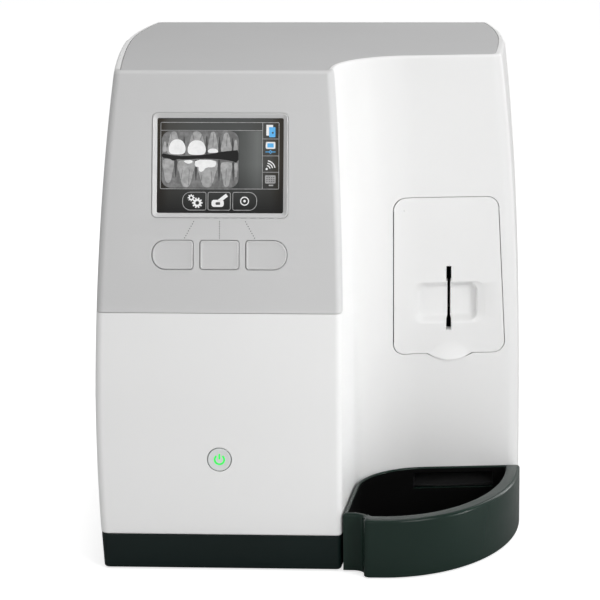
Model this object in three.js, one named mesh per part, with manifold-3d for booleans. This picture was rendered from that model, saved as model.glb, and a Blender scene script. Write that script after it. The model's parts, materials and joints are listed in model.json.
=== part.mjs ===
// Desktop phosphor plate scanner: two moulded columns with a cove between them and a catch tray in front.
// Millimetres. X runs to the right, the front faces -Y and Z is up.
// The origin lies on the ground under the middle of the whole scanner.

import * as THREE from "three";
import { mergeVertices } from "three/addons/utils/BufferGeometryUtils.js";
import Module from "manifold-3d";

const wasm = await Module();
wasm.setup();

// Driving dimensions
const height = 430;
const width = 382;
const bodyDepth = 370;
const seamDepth = 245;
const trayReach = 19;
const rearReach = 3;
const footHeight = 2;
const baseTop = 32;

// Places tied to the driving dimensions: down from the top and forward from the back
const fromTop = { panelEdge: 201.5, screen: 78, keys: 152.6, board: 110, fan: 100, chassis: 70, screws: 85 };
const fromBack = { feet: 35, bosses: 70, chassis: 20, board: 35, supply: 40, chute: 40, chuteFoot: 70 };
const panelBottom = height - fromTop.panelEdge;

// Walls, clearances and cutter lengths shared by all pieces
const wall = 3;
const fit = 0.3;
const seamGap = 0.6;
const overrun = 12;

// Outer form of the two columns
const form = {
  sideTaper: 18,
  bowFront: 12.5,
  bowRear: 15,
  leanStart: 152,
  lean: 57,
  columnRightShare: 0.090576,
  columnTaper: 9.2,
  faceDepth: 139,
  wallSlantShare: 0.08,
  faceSlantShare: 0.11,
  coveRadius: 70,
  outerCorner: 7,
  columnCorner: 6,
  faceCorner: 11,
  backCorner: 6,
  leastCornerShare: 0.12,
  bottomRound: 2.2,
  topRound: 3,
  ringHeightShares: [0.18, 0.34, 0.49, 0.62, 0.74, 0.84, 0.93],
  leftBowShares: [0.3, 0.6, 0.85],
  rightBowShares: [0.35, 0.7],
  rearBowShares: [0.35, 0.65, 0.88],
};

// Right edge of the left column at its foot
const columnEdge = width * form.columnRightShare;

// Half the width across the seam at a height
function halfWidth(z) {
  const share = z / height;
  return width / 2 - form.sideTaper * share * share * Math.sqrt(share);
}

// How far up the leaning stretch of the left column a height is
function leanShare(z) {
  return Math.max(0, (z - form.leanStart) / (height - form.leanStart));
}

// Depth of the left column's front at a height
function columnFront(z) {
  const share = leanShare(z);
  return form.lean * share * Math.sqrt(share);
}

// Slope of the left column's front at a height, in radians from the vertical
function columnTilt(z) {
  const run = height - form.leanStart;
  return Math.atan((form.lean / run) * (3 / 2) * Math.sqrt(leanShare(z)));
}

// Right edge of the left column at a height
function columnRight(z) {
  const share = leanShare(z);
  return columnEdge - form.columnTaper * share * share * Math.sqrt(share);
}

// The left column's right wall as it runs back to the cove
function columnWall(y, z) {
  return columnRight(z) + form.wallSlantShare * (y - columnFront(z));
}

// Front face of the right column, past the cove
function facePlane(x, z) {
  return form.faceDepth + form.faceSlantShare * (x - columnWall(form.faceDepth, z));
}

// Centre of the cove's arc, and where the arc meets the face
function coveArc(z, radius) {
  const corner = new THREE.Vector2(columnWall(form.faceDepth, z), form.faceDepth);
  const alongWall = new THREE.Vector2(-form.wallSlantShare, -1).normalize();
  const alongFace = new THREE.Vector2(1, form.faceSlantShare).normalize();
  const halfAngle = Math.acos(alongWall.dot(alongFace)) / 2;
  const bisector = alongWall.clone().add(alongFace).normalize();
  const centre = corner.clone().addScaledVector(bisector, radius / Math.sin(halfAngle));
  const end = corner.clone().addScaledVector(alongFace, radius / Math.tan(halfAngle));
  return { centre, end };
}

// Depth of the outer surface between the columns and on the right column
function surfaceAt(x, z) {
  const { centre, end } = coveArc(z, form.coveRadius);
  if (x > end.x) {
    return facePlane(x, z);
  }
  return centre.y + Math.sqrt(form.coveRadius ** 2 - (x - centre.x) ** 2);
}

// Half the width of the body at a depth and a height, the sides bow in both ways from the seam
function sideAt(y, z, inset) {
  if (y < seamDepth) {
    const share = (seamDepth - y) / (seamDepth - columnFront(z));
    return halfWidth(z) - inset.side - form.bowFront * share * Math.sqrt(share);
  }
  const share = (y - seamDepth) / (bodyDepth - seamDepth);
  const inward = inset.side + (inset.back - inset.side) * share;
  return halfWidth(z) - inward - form.bowRear * share * share;
}

// A closed outline whose corners { x, y, radius, steps } are rounded
function roundedOutline(corners) {
  const points = [];
  corners.forEach((corner, index) => {
    const at = new THREE.Vector2(corner.x, corner.y);
    if (!corner.radius) {
      points.push(at);
      return;
    }
    const before = corners.at(index - 1);
    const after = corners[(index + 1) % corners.length];
    const toBefore = new THREE.Vector2(before.x, before.y).sub(at).normalize();
    const toAfter = new THREE.Vector2(after.x, after.y).sub(at).normalize();
    const halfAngle = Math.acos(toBefore.dot(toAfter)) / 2;
    const middle = toBefore.clone().add(toAfter).normalize();
    const centre = at.clone().addScaledVector(middle, corner.radius / Math.sin(halfAngle));
    const reach = corner.radius / Math.tan(halfAngle);
    const start = at.clone().addScaledVector(toBefore, reach).sub(centre);
    const end = at.clone().addScaledVector(toAfter, reach).sub(centre);
    const sweep = Math.PI - 2 * halfAngle;
    for (let step = 0; step <= corner.steps; step++) {
      const share = step / corner.steps;
      const point = centre.clone();
      point.addScaledVector(start, Math.sin((1 - share) * sweep) / Math.sin(sweep));
      point.addScaledVector(end, Math.sin(share * sweep) / Math.sin(sweep));
      points.push(point);
    }
  });
  return points;
}

// Steps round each kind of corner, for surfaces in view and for those inside
const fineSteps = { corner: 3, cove: 9, face: 4, back: 2 };
const coarseSteps = { corner: 1, cove: 5, face: 2, back: 1 };

// The same inset on every side of the body
function even(inset) {
  return { side: inset, front: inset, cove: inset, back: inset };
}

// Plan of the body at a height, drawn in by the insets, counterclockwise from the front left corner
function bodyOutline(z, inset, steps = fineSteps) {
  const round = (radius, by) => Math.max(radius - by, radius * form.leastCornerShare);
  const front = columnFront(z) + inset.front;
  const back = bodyDepth - inset.back;
  const slants = form.wallSlantShare * form.faceSlantShare;
  const shift = (-inset.cove * (1 - form.wallSlantShare)) / (1 - slants);
  const cove = {
    x: columnWall(form.faceDepth, z) + shift,
    y: form.faceDepth + inset.cove + form.faceSlantShare * shift,
    radius: form.coveRadius + inset.cove,
    steps: steps.cove,
  };
  const faceLeft = facePlane(sideAt(form.faceDepth, z, inset), z) + inset.cove;
  const faceRight = sideAt(faceLeft, z, inset);
  const left = form.leftBowShares.map((share) => seamDepth + (front - seamDepth) * share);
  const right = form.rightBowShares.map((share) => seamDepth + (faceLeft - seamDepth) * share);
  const rear = form.rearBowShares.map((share) => seamDepth + (back - seamDepth) * share);
  const side = (y, sign) => ({ x: sign * sideAt(y, z, inset), y });
  const outerCorner = round(form.outerCorner, inset.side);
  const columnCorner = round(form.columnCorner, inset.front);
  const faceCorner = round(form.faceCorner, inset.cove);
  const backCorner = round(form.backCorner, inset.back);
  return roundedOutline([
    { ...side(front, -1), radius: outerCorner, steps: steps.corner },
    { x: columnWall(front, z) - inset.cove, y: front, radius: columnCorner, steps: steps.corner },
    cove,
    { x: faceRight, y: facePlane(faceRight, z) + inset.cove, radius: faceCorner, steps: steps.face },
    ...right.toReversed().map((y) => side(y, 1)),
    side(seamDepth, 1),
    ...rear.map((y) => side(y, 1)),
    { ...side(back, 1), radius: backCorner, steps: steps.back },
    { ...side(back, -1), radius: backCorner, steps: steps.back },
    ...rear.toReversed().map((y) => side(y, -1)),
    side(seamDepth, -1),
    ...left.map((y) => side(y, -1)),
  ]);
}

// Helpers that turn geometry into solids and back

// A manifold solid from a closed geometry
function solid(geometry) {
  const bare = new THREE.BufferGeometry();
  const source = geometry.index ? geometry.toNonIndexed() : geometry;
  bare.setAttribute("position", source.getAttribute("position"));
  const merged = mergeVertices(bare);
  const index = merged.index.array;
  const triangles = [];
  for (let at = 0; at < index.length; at += 3) {
    const [a, b, c] = [index[at], index[at + 1], index[at + 2]];
    if (a !== b && b !== c && c !== a) {
      triangles.push(a, b, c);
    }
  }
  const vertProperties = new Float32Array(merged.getAttribute("position").array);
  const triVerts = new Uint32Array(triangles);
  return new wasm.Manifold(new wasm.Mesh({ numProp: 3, vertProperties, triVerts }));
}

// A three.js geometry from a manifold solid
function geometryOf(made) {
  const mesh = made.getMesh();
  const geometry = new THREE.BufferGeometry();
  geometry.setAttribute("position", new THREE.BufferAttribute(mesh.vertProperties, 3));
  geometry.setIndex(new THREE.BufferAttribute(mesh.triVerts, 1));
  const flat = geometry.toNonIndexed();
  flat.computeVertexNormals();
  return flat;
}

// A solid through a stack of rings { z, points } that all have the same number of points
function loft(rings, placement = new THREE.Matrix4()) {
  const count = rings[0].points.length;
  const positions = rings.flatMap((ring) => ring.points.flatMap((point) => [point.x, point.y, ring.z]));
  const index = [];
  for (let ring = 0; ring + 1 < rings.length; ring++) {
    for (let step = 0; step < count; step++) {
      const next = (step + 1) % count;
      const low = ring * count;
      const high = low + count;
      index.push(low + step, low + next, high + next);
      index.push(low + step, high + next, high + step);
    }
  }
  const top = (rings.length - 1) * count;
  THREE.ShapeUtils.triangulateShape(rings[0].points, []).forEach(([a, b, c]) => index.push(a, c, b));
  THREE.ShapeUtils.triangulateShape(rings.at(-1).points, []).forEach(([a, b, c]) => {
    index.push(top + a, top + b, top + c);
  });
  const geometry = new THREE.BufferGeometry();
  geometry.setAttribute("position", new THREE.Float32BufferAttribute(positions, 3));
  geometry.setIndex(index);
  return solid(geometry.applyMatrix4(placement));
}

// A box between two corners
function box(x, y, z) {
  const geometry = new THREE.BoxGeometry(x[1] - x[0], y[1] - y[0], z[1] - z[0]);
  geometry.translate((x[0] + x[1]) / 2, (y[0] + y[1]) / 2, (z[0] + z[1]) / 2);
  return geometry;
}

// A round bar between two points
function rod(from, to, radius, sides = 20) {
  const run = to.clone().sub(from);
  const geometry = new THREE.CylinderGeometry(radius, radius, run.length(), sides);
  const turn = new THREE.Quaternion().setFromUnitVectors(new THREE.Vector3(0, 1, 0), run.normalize());
  geometry.applyQuaternion(turn);
  const middle = from.clone().add(to).divideScalar(2);
  return geometry.translate(middle.x, middle.y, middle.z);
}

// Bars along one axis of the model
const point = (x, y, z) => new THREE.Vector3(x, y, z);
const uprightBar = (x, y, z, radius, sides) => rod(point(x, y, z[0]), point(x, y, z[1]), radius, sides);
const rearwardBar = (x, z, y, radius, sides) => rod(point(x, y[0], z), point(x, y[1], z), radius, sides);

// A shape extruded along Z, or drawn in X and Z and extruded along Y, or in Y and Z along X
function extrude(shape, axis, range, curveSegments = 5) {
  const depth = range[1] - range[0];
  const geometry = new THREE.ExtrudeGeometry(shape, { depth, bevelEnabled: false, curveSegments });
  if (axis === "z") {
    return geometry.translate(0, 0, range[0]);
  }
  if (axis === "y") {
    return geometry.rotateX(Math.PI / 2).translate(0, range[1], 0);
  }
  const cycle = new THREE.Matrix4().set(0, 0, 1, 0, 1, 0, 0, 0, 0, 1, 0, 0, 0, 0, 0, 1);
  return geometry.applyMatrix4(cycle).translate(range[0], 0, 0);
}

// A rectangle with rounded corners about a middle
function roundedRectangle(x, y, wide, tall, radius) {
  const [left, right, low, high] = [x - wide / 2, x + wide / 2, y - tall / 2, y + tall / 2];
  const shape = new THREE.Shape();
  shape.absarc(right - radius, low + radius, radius, -Math.PI / 2, 0);
  shape.absarc(right - radius, high - radius, radius, 0, Math.PI / 2);
  shape.absarc(left + radius, high - radius, radius, Math.PI / 2, Math.PI);
  shape.absarc(left + radius, low + radius, radius, Math.PI, (Math.PI * 3) / 2);
  return shape;
}

// A circle as a shape
function circle(x, y, radius) {
  return new THREE.Shape().absarc(x, y, radius, 0, Math.PI * 2);
}

// Join and cut a list of geometries or solids
const asSolid = (piece) => (piece.isBufferGeometry ? solid(piece) : piece);
const join = (...pieces) => pieces.map(asSolid).reduce((all, piece) => all.add(piece));
const less = (all, piece) => all.subtract(piece);
const cut = (first, ...pieces) => pieces.map(asSolid).reduce(less, asSolid(first));
const common = (...pieces) => pieces.map(asSolid).reduce((all, piece) => all.intersect(piece));

// Materials

function material(color, roughness, metalness = 0) {
  return new THREE.MeshStandardMaterial({ color, roughness, metalness });
}

const shellWhite = material(0xececea, 0.35);
const panelGrey = material(0xc4c5c6, 0.4);
const lidGrey = material(0xb3b5b5, 0.5);
const baseGreen = material(0x1f2a27, 0.4);
const trayGreen = material(0x2c3a35, 0.3);
const screenGlass = material(0x15181b, 0.08);
const blackPlastic = material(0x1b1c1d, 0.5);
const rubber = material(0x2a2a2b, 0.85);
const steel = material(0xb9bcc0, 0.35, 0.9);
const darkSteel = material(0x5b5e62, 0.45, 0.8);
const boardGreen = material(0x1f5a3c, 0.55);
const clearWhite = material(0xf2f4f5, 0.25);
const guideGrey = material(0x8d9294, 0.55);

const scanner = new THREE.Group();
scanner.position.y = (trayReach - bodyDepth - rearReach) / 2;

// Put a finished piece into the scanner
function add(name, piece, surface, parent = scanner) {
  const geometry = piece.isBufferGeometry ? piece : geometryOf(piece);
  const mesh = new THREE.Mesh(geometry, surface);
  mesh.name = name;
  parent.add(mesh);
  return mesh;
}

// Housing shells

const lid = {
  thickness: 3,
  edge: 0.8,
  inset: { side: 5.5, front: 4.4, cove: 4.1, back: 4.1 },
  ledgeThickness: 2.5,
  ledgeReach: 5,
};

const deepen = (inset, by) => ({
  side: inset.side + by,
  front: inset.front + by,
  cove: inset.cove + by,
  back: inset.back + by,
});

// Heights and insets of a quarter round edge, from its straight end to its rim
function edgeRound(z, radius, sign, steps) {
  return Array.from({ length: steps + 1 }, (_, step) => {
    const angle = ((step / steps) * Math.PI) / 2;
    return { z: z - sign * radius * (1 - Math.sin(angle)), inset: radius * (1 - Math.cos(angle)) };
  });
}

// Outer solid of the body, stepped-in copies of it give the rear shell and the bounds of inner parts
function bodySolid(inward, steps = fineSteps) {
  const rise = height - baseTop;
  const middle = form.ringHeightShares.map((share) => ({ z: baseTop + rise * share, inset: 0 }));
  const bottom = edgeRound(baseTop, form.bottomRound, -1, 2).reverse();
  const top = edgeRound(height, form.topRound, 1, 3);
  const rings = [...bottom, ...middle, ...top];
  return loft(rings.map(({ z, inset }) => ({ z, points: bodyOutline(z, even(inset + inward), steps) })));
}

// Space inside the body, with the ledge that the lid rests on and the pocket around it
function cavitySolid(thickness) {
  const ledgeTop = height - lid.thickness - fit;
  const ledgeBottom = ledgeTop - lid.ledgeThickness;
  const ring = (z, inset, steps) => ({ z, points: bodyOutline(Math.min(z, height), inset, steps) });
  const heights = form.ringHeightShares.map((share) => baseTop + (ledgeBottom - baseTop) * share);
  const inside = loft([
    ...[baseTop - overrun, ...heights, ledgeBottom].map((z) => ring(z, even(thickness), coarseSteps)),
    ...[ledgeBottom, height].map((z) => ring(z, deepen(lid.inset, lid.ledgeReach), coarseSteps)),
  ]);
  const opening = deepen(lid.inset, -fit);
  const pocket = loft([ledgeTop, height, height + overrun].map((z) => ring(z, opening, fineSteps)));
  return join(inside, pocket);
}

const bodyOuter = bodySolid(0);
const bodyCavity = cavitySolid(wall);
const bodyShell = cut(bodyOuter, bodyCavity);

// Everything in front of a depth, or behind it
const inFrontOf = (y) => box([-width, width], [-bodyDepth, y], [-overrun, height + overrun]);
const behind = (y) => box([-width, width], [y, bodyDepth * 2], [-overrun, height + overrun]);

// Control panel: the leaning grey front of the left column, wrapped round both of its corners

const panel = { wrap: 12, gap: 0.5, postRadius: 3.2 };

// The leaning slab that the panel is cut from
function panelSlab(grow) {
  const ring = (z) => {
    const at = Math.min(z, height);
    const right = columnRight(at) + panel.wrap;
    const back = columnFront(at) + panel.wrap + grow;
    const corners = [[-width, -bodyDepth], [right, -bodyDepth], [right, back], [-width, back]];
    return { z, points: corners.map(([x, y]) => new THREE.Vector2(x, y)) };
  };
  const low = panelBottom - grow;
  const steps = form.ringHeightShares.map((share) => low + (height - low) * share);
  return loft([low, ...steps, height, height + overrun].map(ring));
}

// A frame on the panel's surface at a height: -Y points out of the panel, Z up along it
function panelSeat(x, z) {
  const seat = new THREE.Group();
  seat.position.set(x, columnFront(z), z);
  seat.rotation.x = -columnTilt(z);
  seat.updateMatrix();
  return seat;
}

const middleShift = 8.2;
const columnMiddle = (columnEdge - width / 2) / 2 + middleShift;
const screen = {
  height: height - fromTop.screen,
  wide: 108.4,
  tall: 81.4,
  corner: 1.5,
  rim: 4.2,
  rimCorner: 4.5,
  proud: 0.2,
  lipDepth: 2.2,
  glass: 1.5,
  lap: 1.4,
  flange: 3.2,
  flangeThickness: 2,
  flangeDepth: 4.6,
  moduleThickness: 7,
};
const screenSeat = panelSeat(columnMiddle, screen.height);
scanner.add(screenSeat);

const keys = {
  height: height - fromTop.keys,
  spacing: 38.7,
  wide: 33.2,
  outerWide: 35,
  tall: 24.6,
  corner: 2.6,
  roundEnd: 11.4,
  endSteps: 6,
  gap: 0.6,
  proud: 0.8,
  edge: 0.5,
  depth: 5.4,
  flange: 1.6,
  flangeThickness: 1.2,
  travel: 1,
  boardThickness: 1.6,
  boardMargin: 10,
  domeRadius: 4.5,
  domeSides: 12,
};
const keyFlangeFront = wall + fit * 2;
const keySeat = panelSeat(columnMiddle, keys.height);
scanner.add(keySeat);

// Outline of one soft key, the outer two have one round end
function keyShape(side, grow) {
  const wide = side === 0 ? keys.wide : keys.outerWide;
  const middle = side * (keys.spacing + (keys.outerWide - keys.wide) / 4);
  const corner = (x, z) => {
    const [radius, steps] = side !== 0 && x * side > 0 ? [keys.roundEnd, keys.endSteps] : [keys.corner, 3];
    return { x: middle + x * (wide / 2 + grow), y: z * (keys.tall / 2 + grow), radius: radius + grow, steps };
  };
  return new THREE.Shape(roundedOutline([corner(-1, -1), corner(1, -1), corner(1, 1), corner(-1, 1)]));
}

const keySides = [-1, 0, 1];
const keyNames = ["key_left", "key_middle", "key_right"];
const keyStop = keys.depth + keys.travel + fit;

// Cutters through the panel for the screen frame and the keys, and the posts behind it
const screenOuterWide = screen.wide + screen.rim * 2;
const screenOuterTall = screen.tall + screen.rim * 2;

function seated(geometry, seat) {
  return geometry.applyMatrix4(seat.matrix);
}

function screenHole() {
  const [wide, tall] = [screenOuterWide + fit * 2, screenOuterTall + fit * 2];
  const shape = roundedRectangle(0, 0, wide, tall, screen.rimCorner + fit);
  return seated(extrude(shape, "y", [-overrun, overrun]), screenSeat);
}

function keyHoles() {
  return keySides.map((side) => seated(extrude(keyShape(side, keys.gap), "y", [-overrun, overrun]), keySeat));
}

// Posts behind the panel that end a clearance short of what they carry
function panelPosts(seat, spreadX, spreadZ, reach) {
  return [-1, 1].flatMap((x) => [-1, 1].map((z) => {
    const at = [x * spreadX, z * spreadZ];
    const bar = rod(point(at[0], wall / 2, at[1]), point(at[0], reach, at[1]), panel.postRadius, 8);
    return seated(bar, seat);
  }));
}

const screenPostX = screenOuterWide / 2 + screen.flange + panel.postRadius + fit;
const screenPostZ = screen.tall / 3;
const screenBack = screen.flangeDepth + screen.flangeThickness;
const boardWide = keys.spacing * 2 + keys.outerWide + keys.boardMargin * 2;
const keyPostX = boardWide / 2 - panel.postRadius;
const keyPostZ = keys.tall / 2 - panel.postRadius;

add(
  "control_panel",
  join(
    cut(common(bodyShell, panelSlab(0)), screenHole(), ...keyHoles()),
    ...panelPosts(keySeat, keyPostX, keyPostZ, keyStop + keys.flangeThickness),
    ...panelPosts(screenSeat, screenPostX, screenPostZ, screenBack),
  ),
  panelGrey,
);

// Screen: frame, glass and display module

function screenFrame() {
  const outer = roundedRectangle(0, 0, screenOuterWide, screenOuterTall, screen.rimCorner);
  const flangeWide = screenOuterWide + screen.flange * 2;
  const flangeTall = screenOuterTall + screen.flange * 2;
  const flange = roundedRectangle(0, 0, flangeWide, flangeTall, screen.rimCorner);
  const opening = roundedRectangle(0, 0, screen.wide, screen.tall, screen.corner);
  const [wide, tall] = [screen.wide + screen.lap * 2, screen.tall + screen.lap * 2];
  const pocket = roundedRectangle(0, 0, wide, tall, screen.corner);
  return cut(
    join(
      extrude(outer, "y", [-screen.proud, screen.flangeDepth + fit], 4),
      extrude(flange, "y", [screen.flangeDepth, screenBack], 2),
    ),
    extrude(opening, "y", [-overrun, overrun], 2),
    extrude(pocket, "y", [screen.lipDepth, overrun], 2),
  );
}
add("display_bezel", screenFrame(), panelGrey, screenSeat);

const glassWide = screen.wide + (screen.lap - fit) * 2;
const glassTall = screen.tall + (screen.lap - fit) * 2;
const glassFront = screen.lipDepth + fit;
const glassBack = glassFront + screen.glass;
add(
  "display_window",
  extrude(roundedRectangle(0, 0, glassWide, glassTall, screen.corner), "y", [glassFront, glassBack], 2),
  screenGlass,
  screenSeat,
);

function displayModule() {
  const front = glassBack + fit;
  const inner = [screenBack + fit, screenBack + fit + screen.moduleThickness];
  const backWide = screenPostX + panel.postRadius;
  const back = box([-backWide, backWide], inner, [-glassTall / 2, glassTall / 2]);
  const glass = roundedRectangle(0, 0, glassWide, glassTall, screen.corner);
  const neck = extrude(glass, "y", [front, inner[1]], 2);
  return join(back, neck);
}
add("display_module", displayModule(), darkSteel, screenSeat);

// Soft keys and their board

function softKey(side) {
  const cap = extrude(keyShape(side, 0), "y", [-keys.proud + keys.edge, keys.depth]);
  const crown = extrude(keyShape(side, -keys.edge), "y", [-keys.proud, 0]);
  const flangeBack = keyFlangeFront + keys.flangeThickness;
  const flange = extrude(keyShape(side, keys.flange), "y", [keyFlangeFront, flangeBack]);
  return join(cap, crown, flange);
}
keySides.forEach((side, index) => add(keyNames[index], softKey(side), panelGrey, keySeat));

function keypadBoard() {
  const front = keyStop + keys.flangeThickness + fit;
  const board = box(
    [-boardWide / 2, boardWide / 2],
    [front, front + keys.boardThickness],
    [-keys.tall / 2, keys.tall / 2],
  );
  const domes = keySides.map((side) => {
    const x = side * keys.spacing;
    const [tip, root] = [point(x, keyStop, 0), point(x, front + keys.boardThickness / 2, 0)];
    return rod(tip, root, keys.domeRadius, keys.domeSides);
  });
  return join(board, ...domes);
}
add("keypad_board", keypadBoard(), boardGreen, keySeat);

// Access door: it follows the right column's surface and carries the slot, the finger dish and the thumb lip

const coveMargin = 41.4;
const door = {
  left: columnEdge + coveMargin,
  rightMargin: 13.9,
  bottom: 159.5,
  top: 302,
  corner: 10,
  gap: 0.9,
  thickness: 3.2,
  chamber: 36,
  lipSteps: 8,
};
const doorWide = width / 2 - door.rightMargin - door.left;
const doorShares = { lip: 0.395648, dish: 0.633037 };
const lip = { wide: doorWide * doorShares.lip, drop: 5.5, rise: 12, reach: 4.5, nose: 1.6, under: 3 };
const hinge = {
  drop: 11,
  insetLeft: 3.5,
  insetRight: 1.8,
  pinRadius: 0.8,
  boreRadius: 1.1,
  inDoor: 9,
  inHousing: 6,
  knuckleRadius: 2.5,
  knuckleLength: 10,
  bossRadius: 3.2,
  bossLength: 9,
};
const slotShare = 0.327225;
const slot = {
  x: width * slotShare,
  height: 209.8,
  length: 58.8,
  narrow: 2.2,
  wide: 4.4,
  upperEndShare: 0.22,
  lowerEndShare: 0.15,
  flareShare: 0.05,
  guideWall: 2,
  guideDepth: 13,
  offset: 1,
};
const dish = {
  x: slot.x + slot.offset,
  height: 206,
  wide: doorWide * doorShares.dish,
  tall: 38,
  corner: 8.5,
  depth: 9,
  draft: 6,
  heel: 2.5,
  wall: 2.2,
};

// Seat on the right column's face: X runs across it, Y into it from the surface and Z up
const faceSeat = new THREE.Matrix4().makeShear(form.faceSlantShare, 0, 0, 0, 0, 0);
faceSeat.setPosition(dish.x, facePlane(dish.x, dish.height), 0);

// Front view of the door in X and Z, grown by a gap
function doorShape(grow) {
  const [low, high, left] = [door.bottom - grow, door.top + grow, door.left - grow];
  const right = (z) => halfWidth(z) - door.rightMargin + grow;
  const halfLip = lip.wide / 2 + grow;
  const radius = (halfLip ** 2 + lip.drop ** 2) / (2 * lip.drop);
  const sweep = Math.asin(halfLip / radius);
  const lipEdge = Array.from({ length: door.lipSteps + 1 }, (_, step) => {
    const angle = sweep * ((2 * step) / door.lipSteps - 1);
    const drop = radius * (Math.cos(angle) - Math.cos(sweep));
    return { x: dish.x + radius * Math.sin(angle), y: low - drop };
  });
  const corner = { radius: door.corner + grow, steps: 4 };
  return new THREE.Shape(
    roundedOutline([
      { x: left, y: low, ...corner },
      ...lipEdge,
      { x: right(low), y: low, ...corner },
      { x: right(high), y: high, ...corner },
      { x: left, y: high, ...corner },
    ]),
  );
}
const doorRange = [form.faceDepth / 2, form.faceDepth + door.chamber];
const doorPrism = (grow) => extrude(doorShape(grow), "y", doorRange);

// Front view of the slot: wide at both ends, with a short flare into the lower one
function slotShape(grow) {
  const half = slot.length / 2 + grow;
  const [narrow, wide] = [slot.narrow / 2 + grow, slot.wide / 2 + grow];
  const upper = slot.height + half - slot.length * slot.upperEndShare;
  const lower = slot.height - half + slot.length * slot.lowerEndShare;
  const flare = lower + slot.length * slot.flareShare;
  const path = [
    [wide, -half],
    [wide, lower - slot.height],
    [narrow, flare - slot.height],
    [narrow, upper - slot.height],
    [wide, upper - slot.height],
    [wide, half],
  ];
  const right = path.map(([x, z]) => new THREE.Vector2(slot.x + x, slot.height + z));
  const left = path.map(([x, z]) => new THREE.Vector2(slot.x - x, slot.height + z)).reverse();
  return new THREE.Shape([...right, ...left]);
}

// The dish as a tapered hollow drawn on the face, or its bowl when grown
function dishSolid(grow, front) {
  const ring = (depth, draft) => {
    const [wide, tall] = [dish.wide + (grow - draft) * 2, dish.tall + (grow - draft) * 2];
    const shape = roundedRectangle(0, dish.height, wide, tall, dish.corner + grow - draft / 2);
    return { z: -depth, points: shape.getPoints(4).slice(0, -1) };
  };
  const bottom = dish.depth + grow;
  const rings = [ring(bottom, dish.draft), ring(bottom - dish.heel, dish.draft - dish.heel), ring(front, 0)];
  return loft(rings, new THREE.Matrix4().makeRotationX(Math.PI / 2).premultiply(faceSeat));
}

// Thumb lip under the door: a scooped wedge with a lens-shaped plan
function thumbLip() {
  const [high, low] = [door.bottom + lip.rise, door.bottom - lip.drop];
  const profile = new THREE.Shape();
  profile.moveTo(door.thickness / 2, high);
  profile.quadraticCurveTo(-lip.nose / 4, low + lip.rise / 2, -lip.reach, low + lip.nose * 2);
  profile.quadraticCurveTo(-lip.reach - lip.nose / 4, low + lip.nose, -lip.under, low - overrun);
  profile.lineTo(door.thickness / 2, low - overrun);
  const radius = (lip.wide ** 2 / 4 + lip.reach ** 2) / (2 * lip.reach);
  const plan = extrude(circle(0, radius - lip.reach, radius), "z", [low - overrun, high], 16);
  const wedge = extrude(profile, "x", [-lip.wide / 2, lip.wide / 2], 5);
  const inFront = common(wedge.applyMatrix4(faceSeat), plan.applyMatrix4(faceSeat));
  return common(inFront, doorPrism(0));
}

// The hinge line runs through two points near the door's upper corners
const hingeHeight = door.top - hinge.drop;
const doorRight = halfWidth(hingeHeight) - door.rightMargin;
const hingeLeft = point(door.left, surfaceAt(door.left, hingeHeight) + hinge.insetLeft, hingeHeight);
const hingeRight = point(doorRight, surfaceAt(doorRight, hingeHeight) + hinge.insetRight, hingeHeight);
const hingeLine = hingeRight.clone().sub(hingeLeft).normalize();

// A bar on the hinge line, from and to distances inward of one of the door's edges
function hingeBar(edge, inward, from, to, radius, sides) {
  const start = edge.clone().addScaledVector(hingeLine, inward * from);
  const end = edge.clone().addScaledVector(hingeLine, inward * to);
  return rod(start, end, radius, sides);
}
const hingeEdges = [[hingeLeft, 1], [hingeRight, -1]];
const hingeBores = () => hingeEdges.map(([edge, inward]) =>
  hingeBar(edge, inward, -hinge.inHousing - fit, hinge.inDoor + fit, hinge.boreRadius, 12));

function accessDoor() {
  const skin = common(cut(bodyOuter, bodySolid(door.thickness)), doorPrism(0));
  const bowl = common(dishSolid(dish.wall, 0), bodySolid(door.thickness / 2));
  const guide = extrude(slotShape(slot.guideWall), "y", [0, slot.guideDepth]);
  guide.translate(0, facePlane(slot.x, slot.height), 0);
  const knuckles = hingeEdges.map(([edge, inward]) =>
    hingeBar(edge, inward, 0, hinge.knuckleLength, hinge.knuckleRadius, 16));
  const carried = common(join(guide, ...knuckles), bodySolid(door.thickness / 4));
  return cut(
    join(skin, bowl, common(carried, doorPrism(0)), thumbLip()),
    dishSolid(0, -overrun),
    extrude(slotShape(0), "y", doorRange),
    ...hingeBores(),
  );
}
add("access_door", accessDoor(), shellWhite);

hingeEdges.forEach(([edge, inward], index) => {
  const pin = hingeBar(edge, inward, -hinge.inHousing, hinge.inDoor, hinge.pinRadius, 12);
  add(["door_pin_left", "door_pin_right"][index], pin, steel);
});

// Catch tray in front of the cove

const [noseReach, bendReach, sideStep] = [19.4, 33.4, 0.5];
const tray = {
  top: 53,
  gap: 1,
  nose: columnEdge + noseReach,
  noseRadius: 10,
  noseCorner: 5,
  bend: columnEdge + bendReach,
  right: width / 2 - sideStep,
  rightDepth: 151,
  rimBack: 4,
  rimFront: 12.5,
  rimNose: 4.5,
  floor: 4,
  edge: 3,
  skin: 3,
  channelTop: 48,
  rightCorner: 2,
  curveSteps: 14,
};
const exitReach = { left: 31.3, right: 41.3 };
const exit = {
  left: slot.x - exitReach.left,
  right: slot.x + exitReach.right,
  low: 33,
  high: 48,
  skirt: 1.5,
};
const tongue = { offsets: [-15, 25], wide: 15, thickness: 3, reach: 38, root: 6 };
const tongueLefts = tongue.offsets.map((offset) => slot.x + offset);

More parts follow.
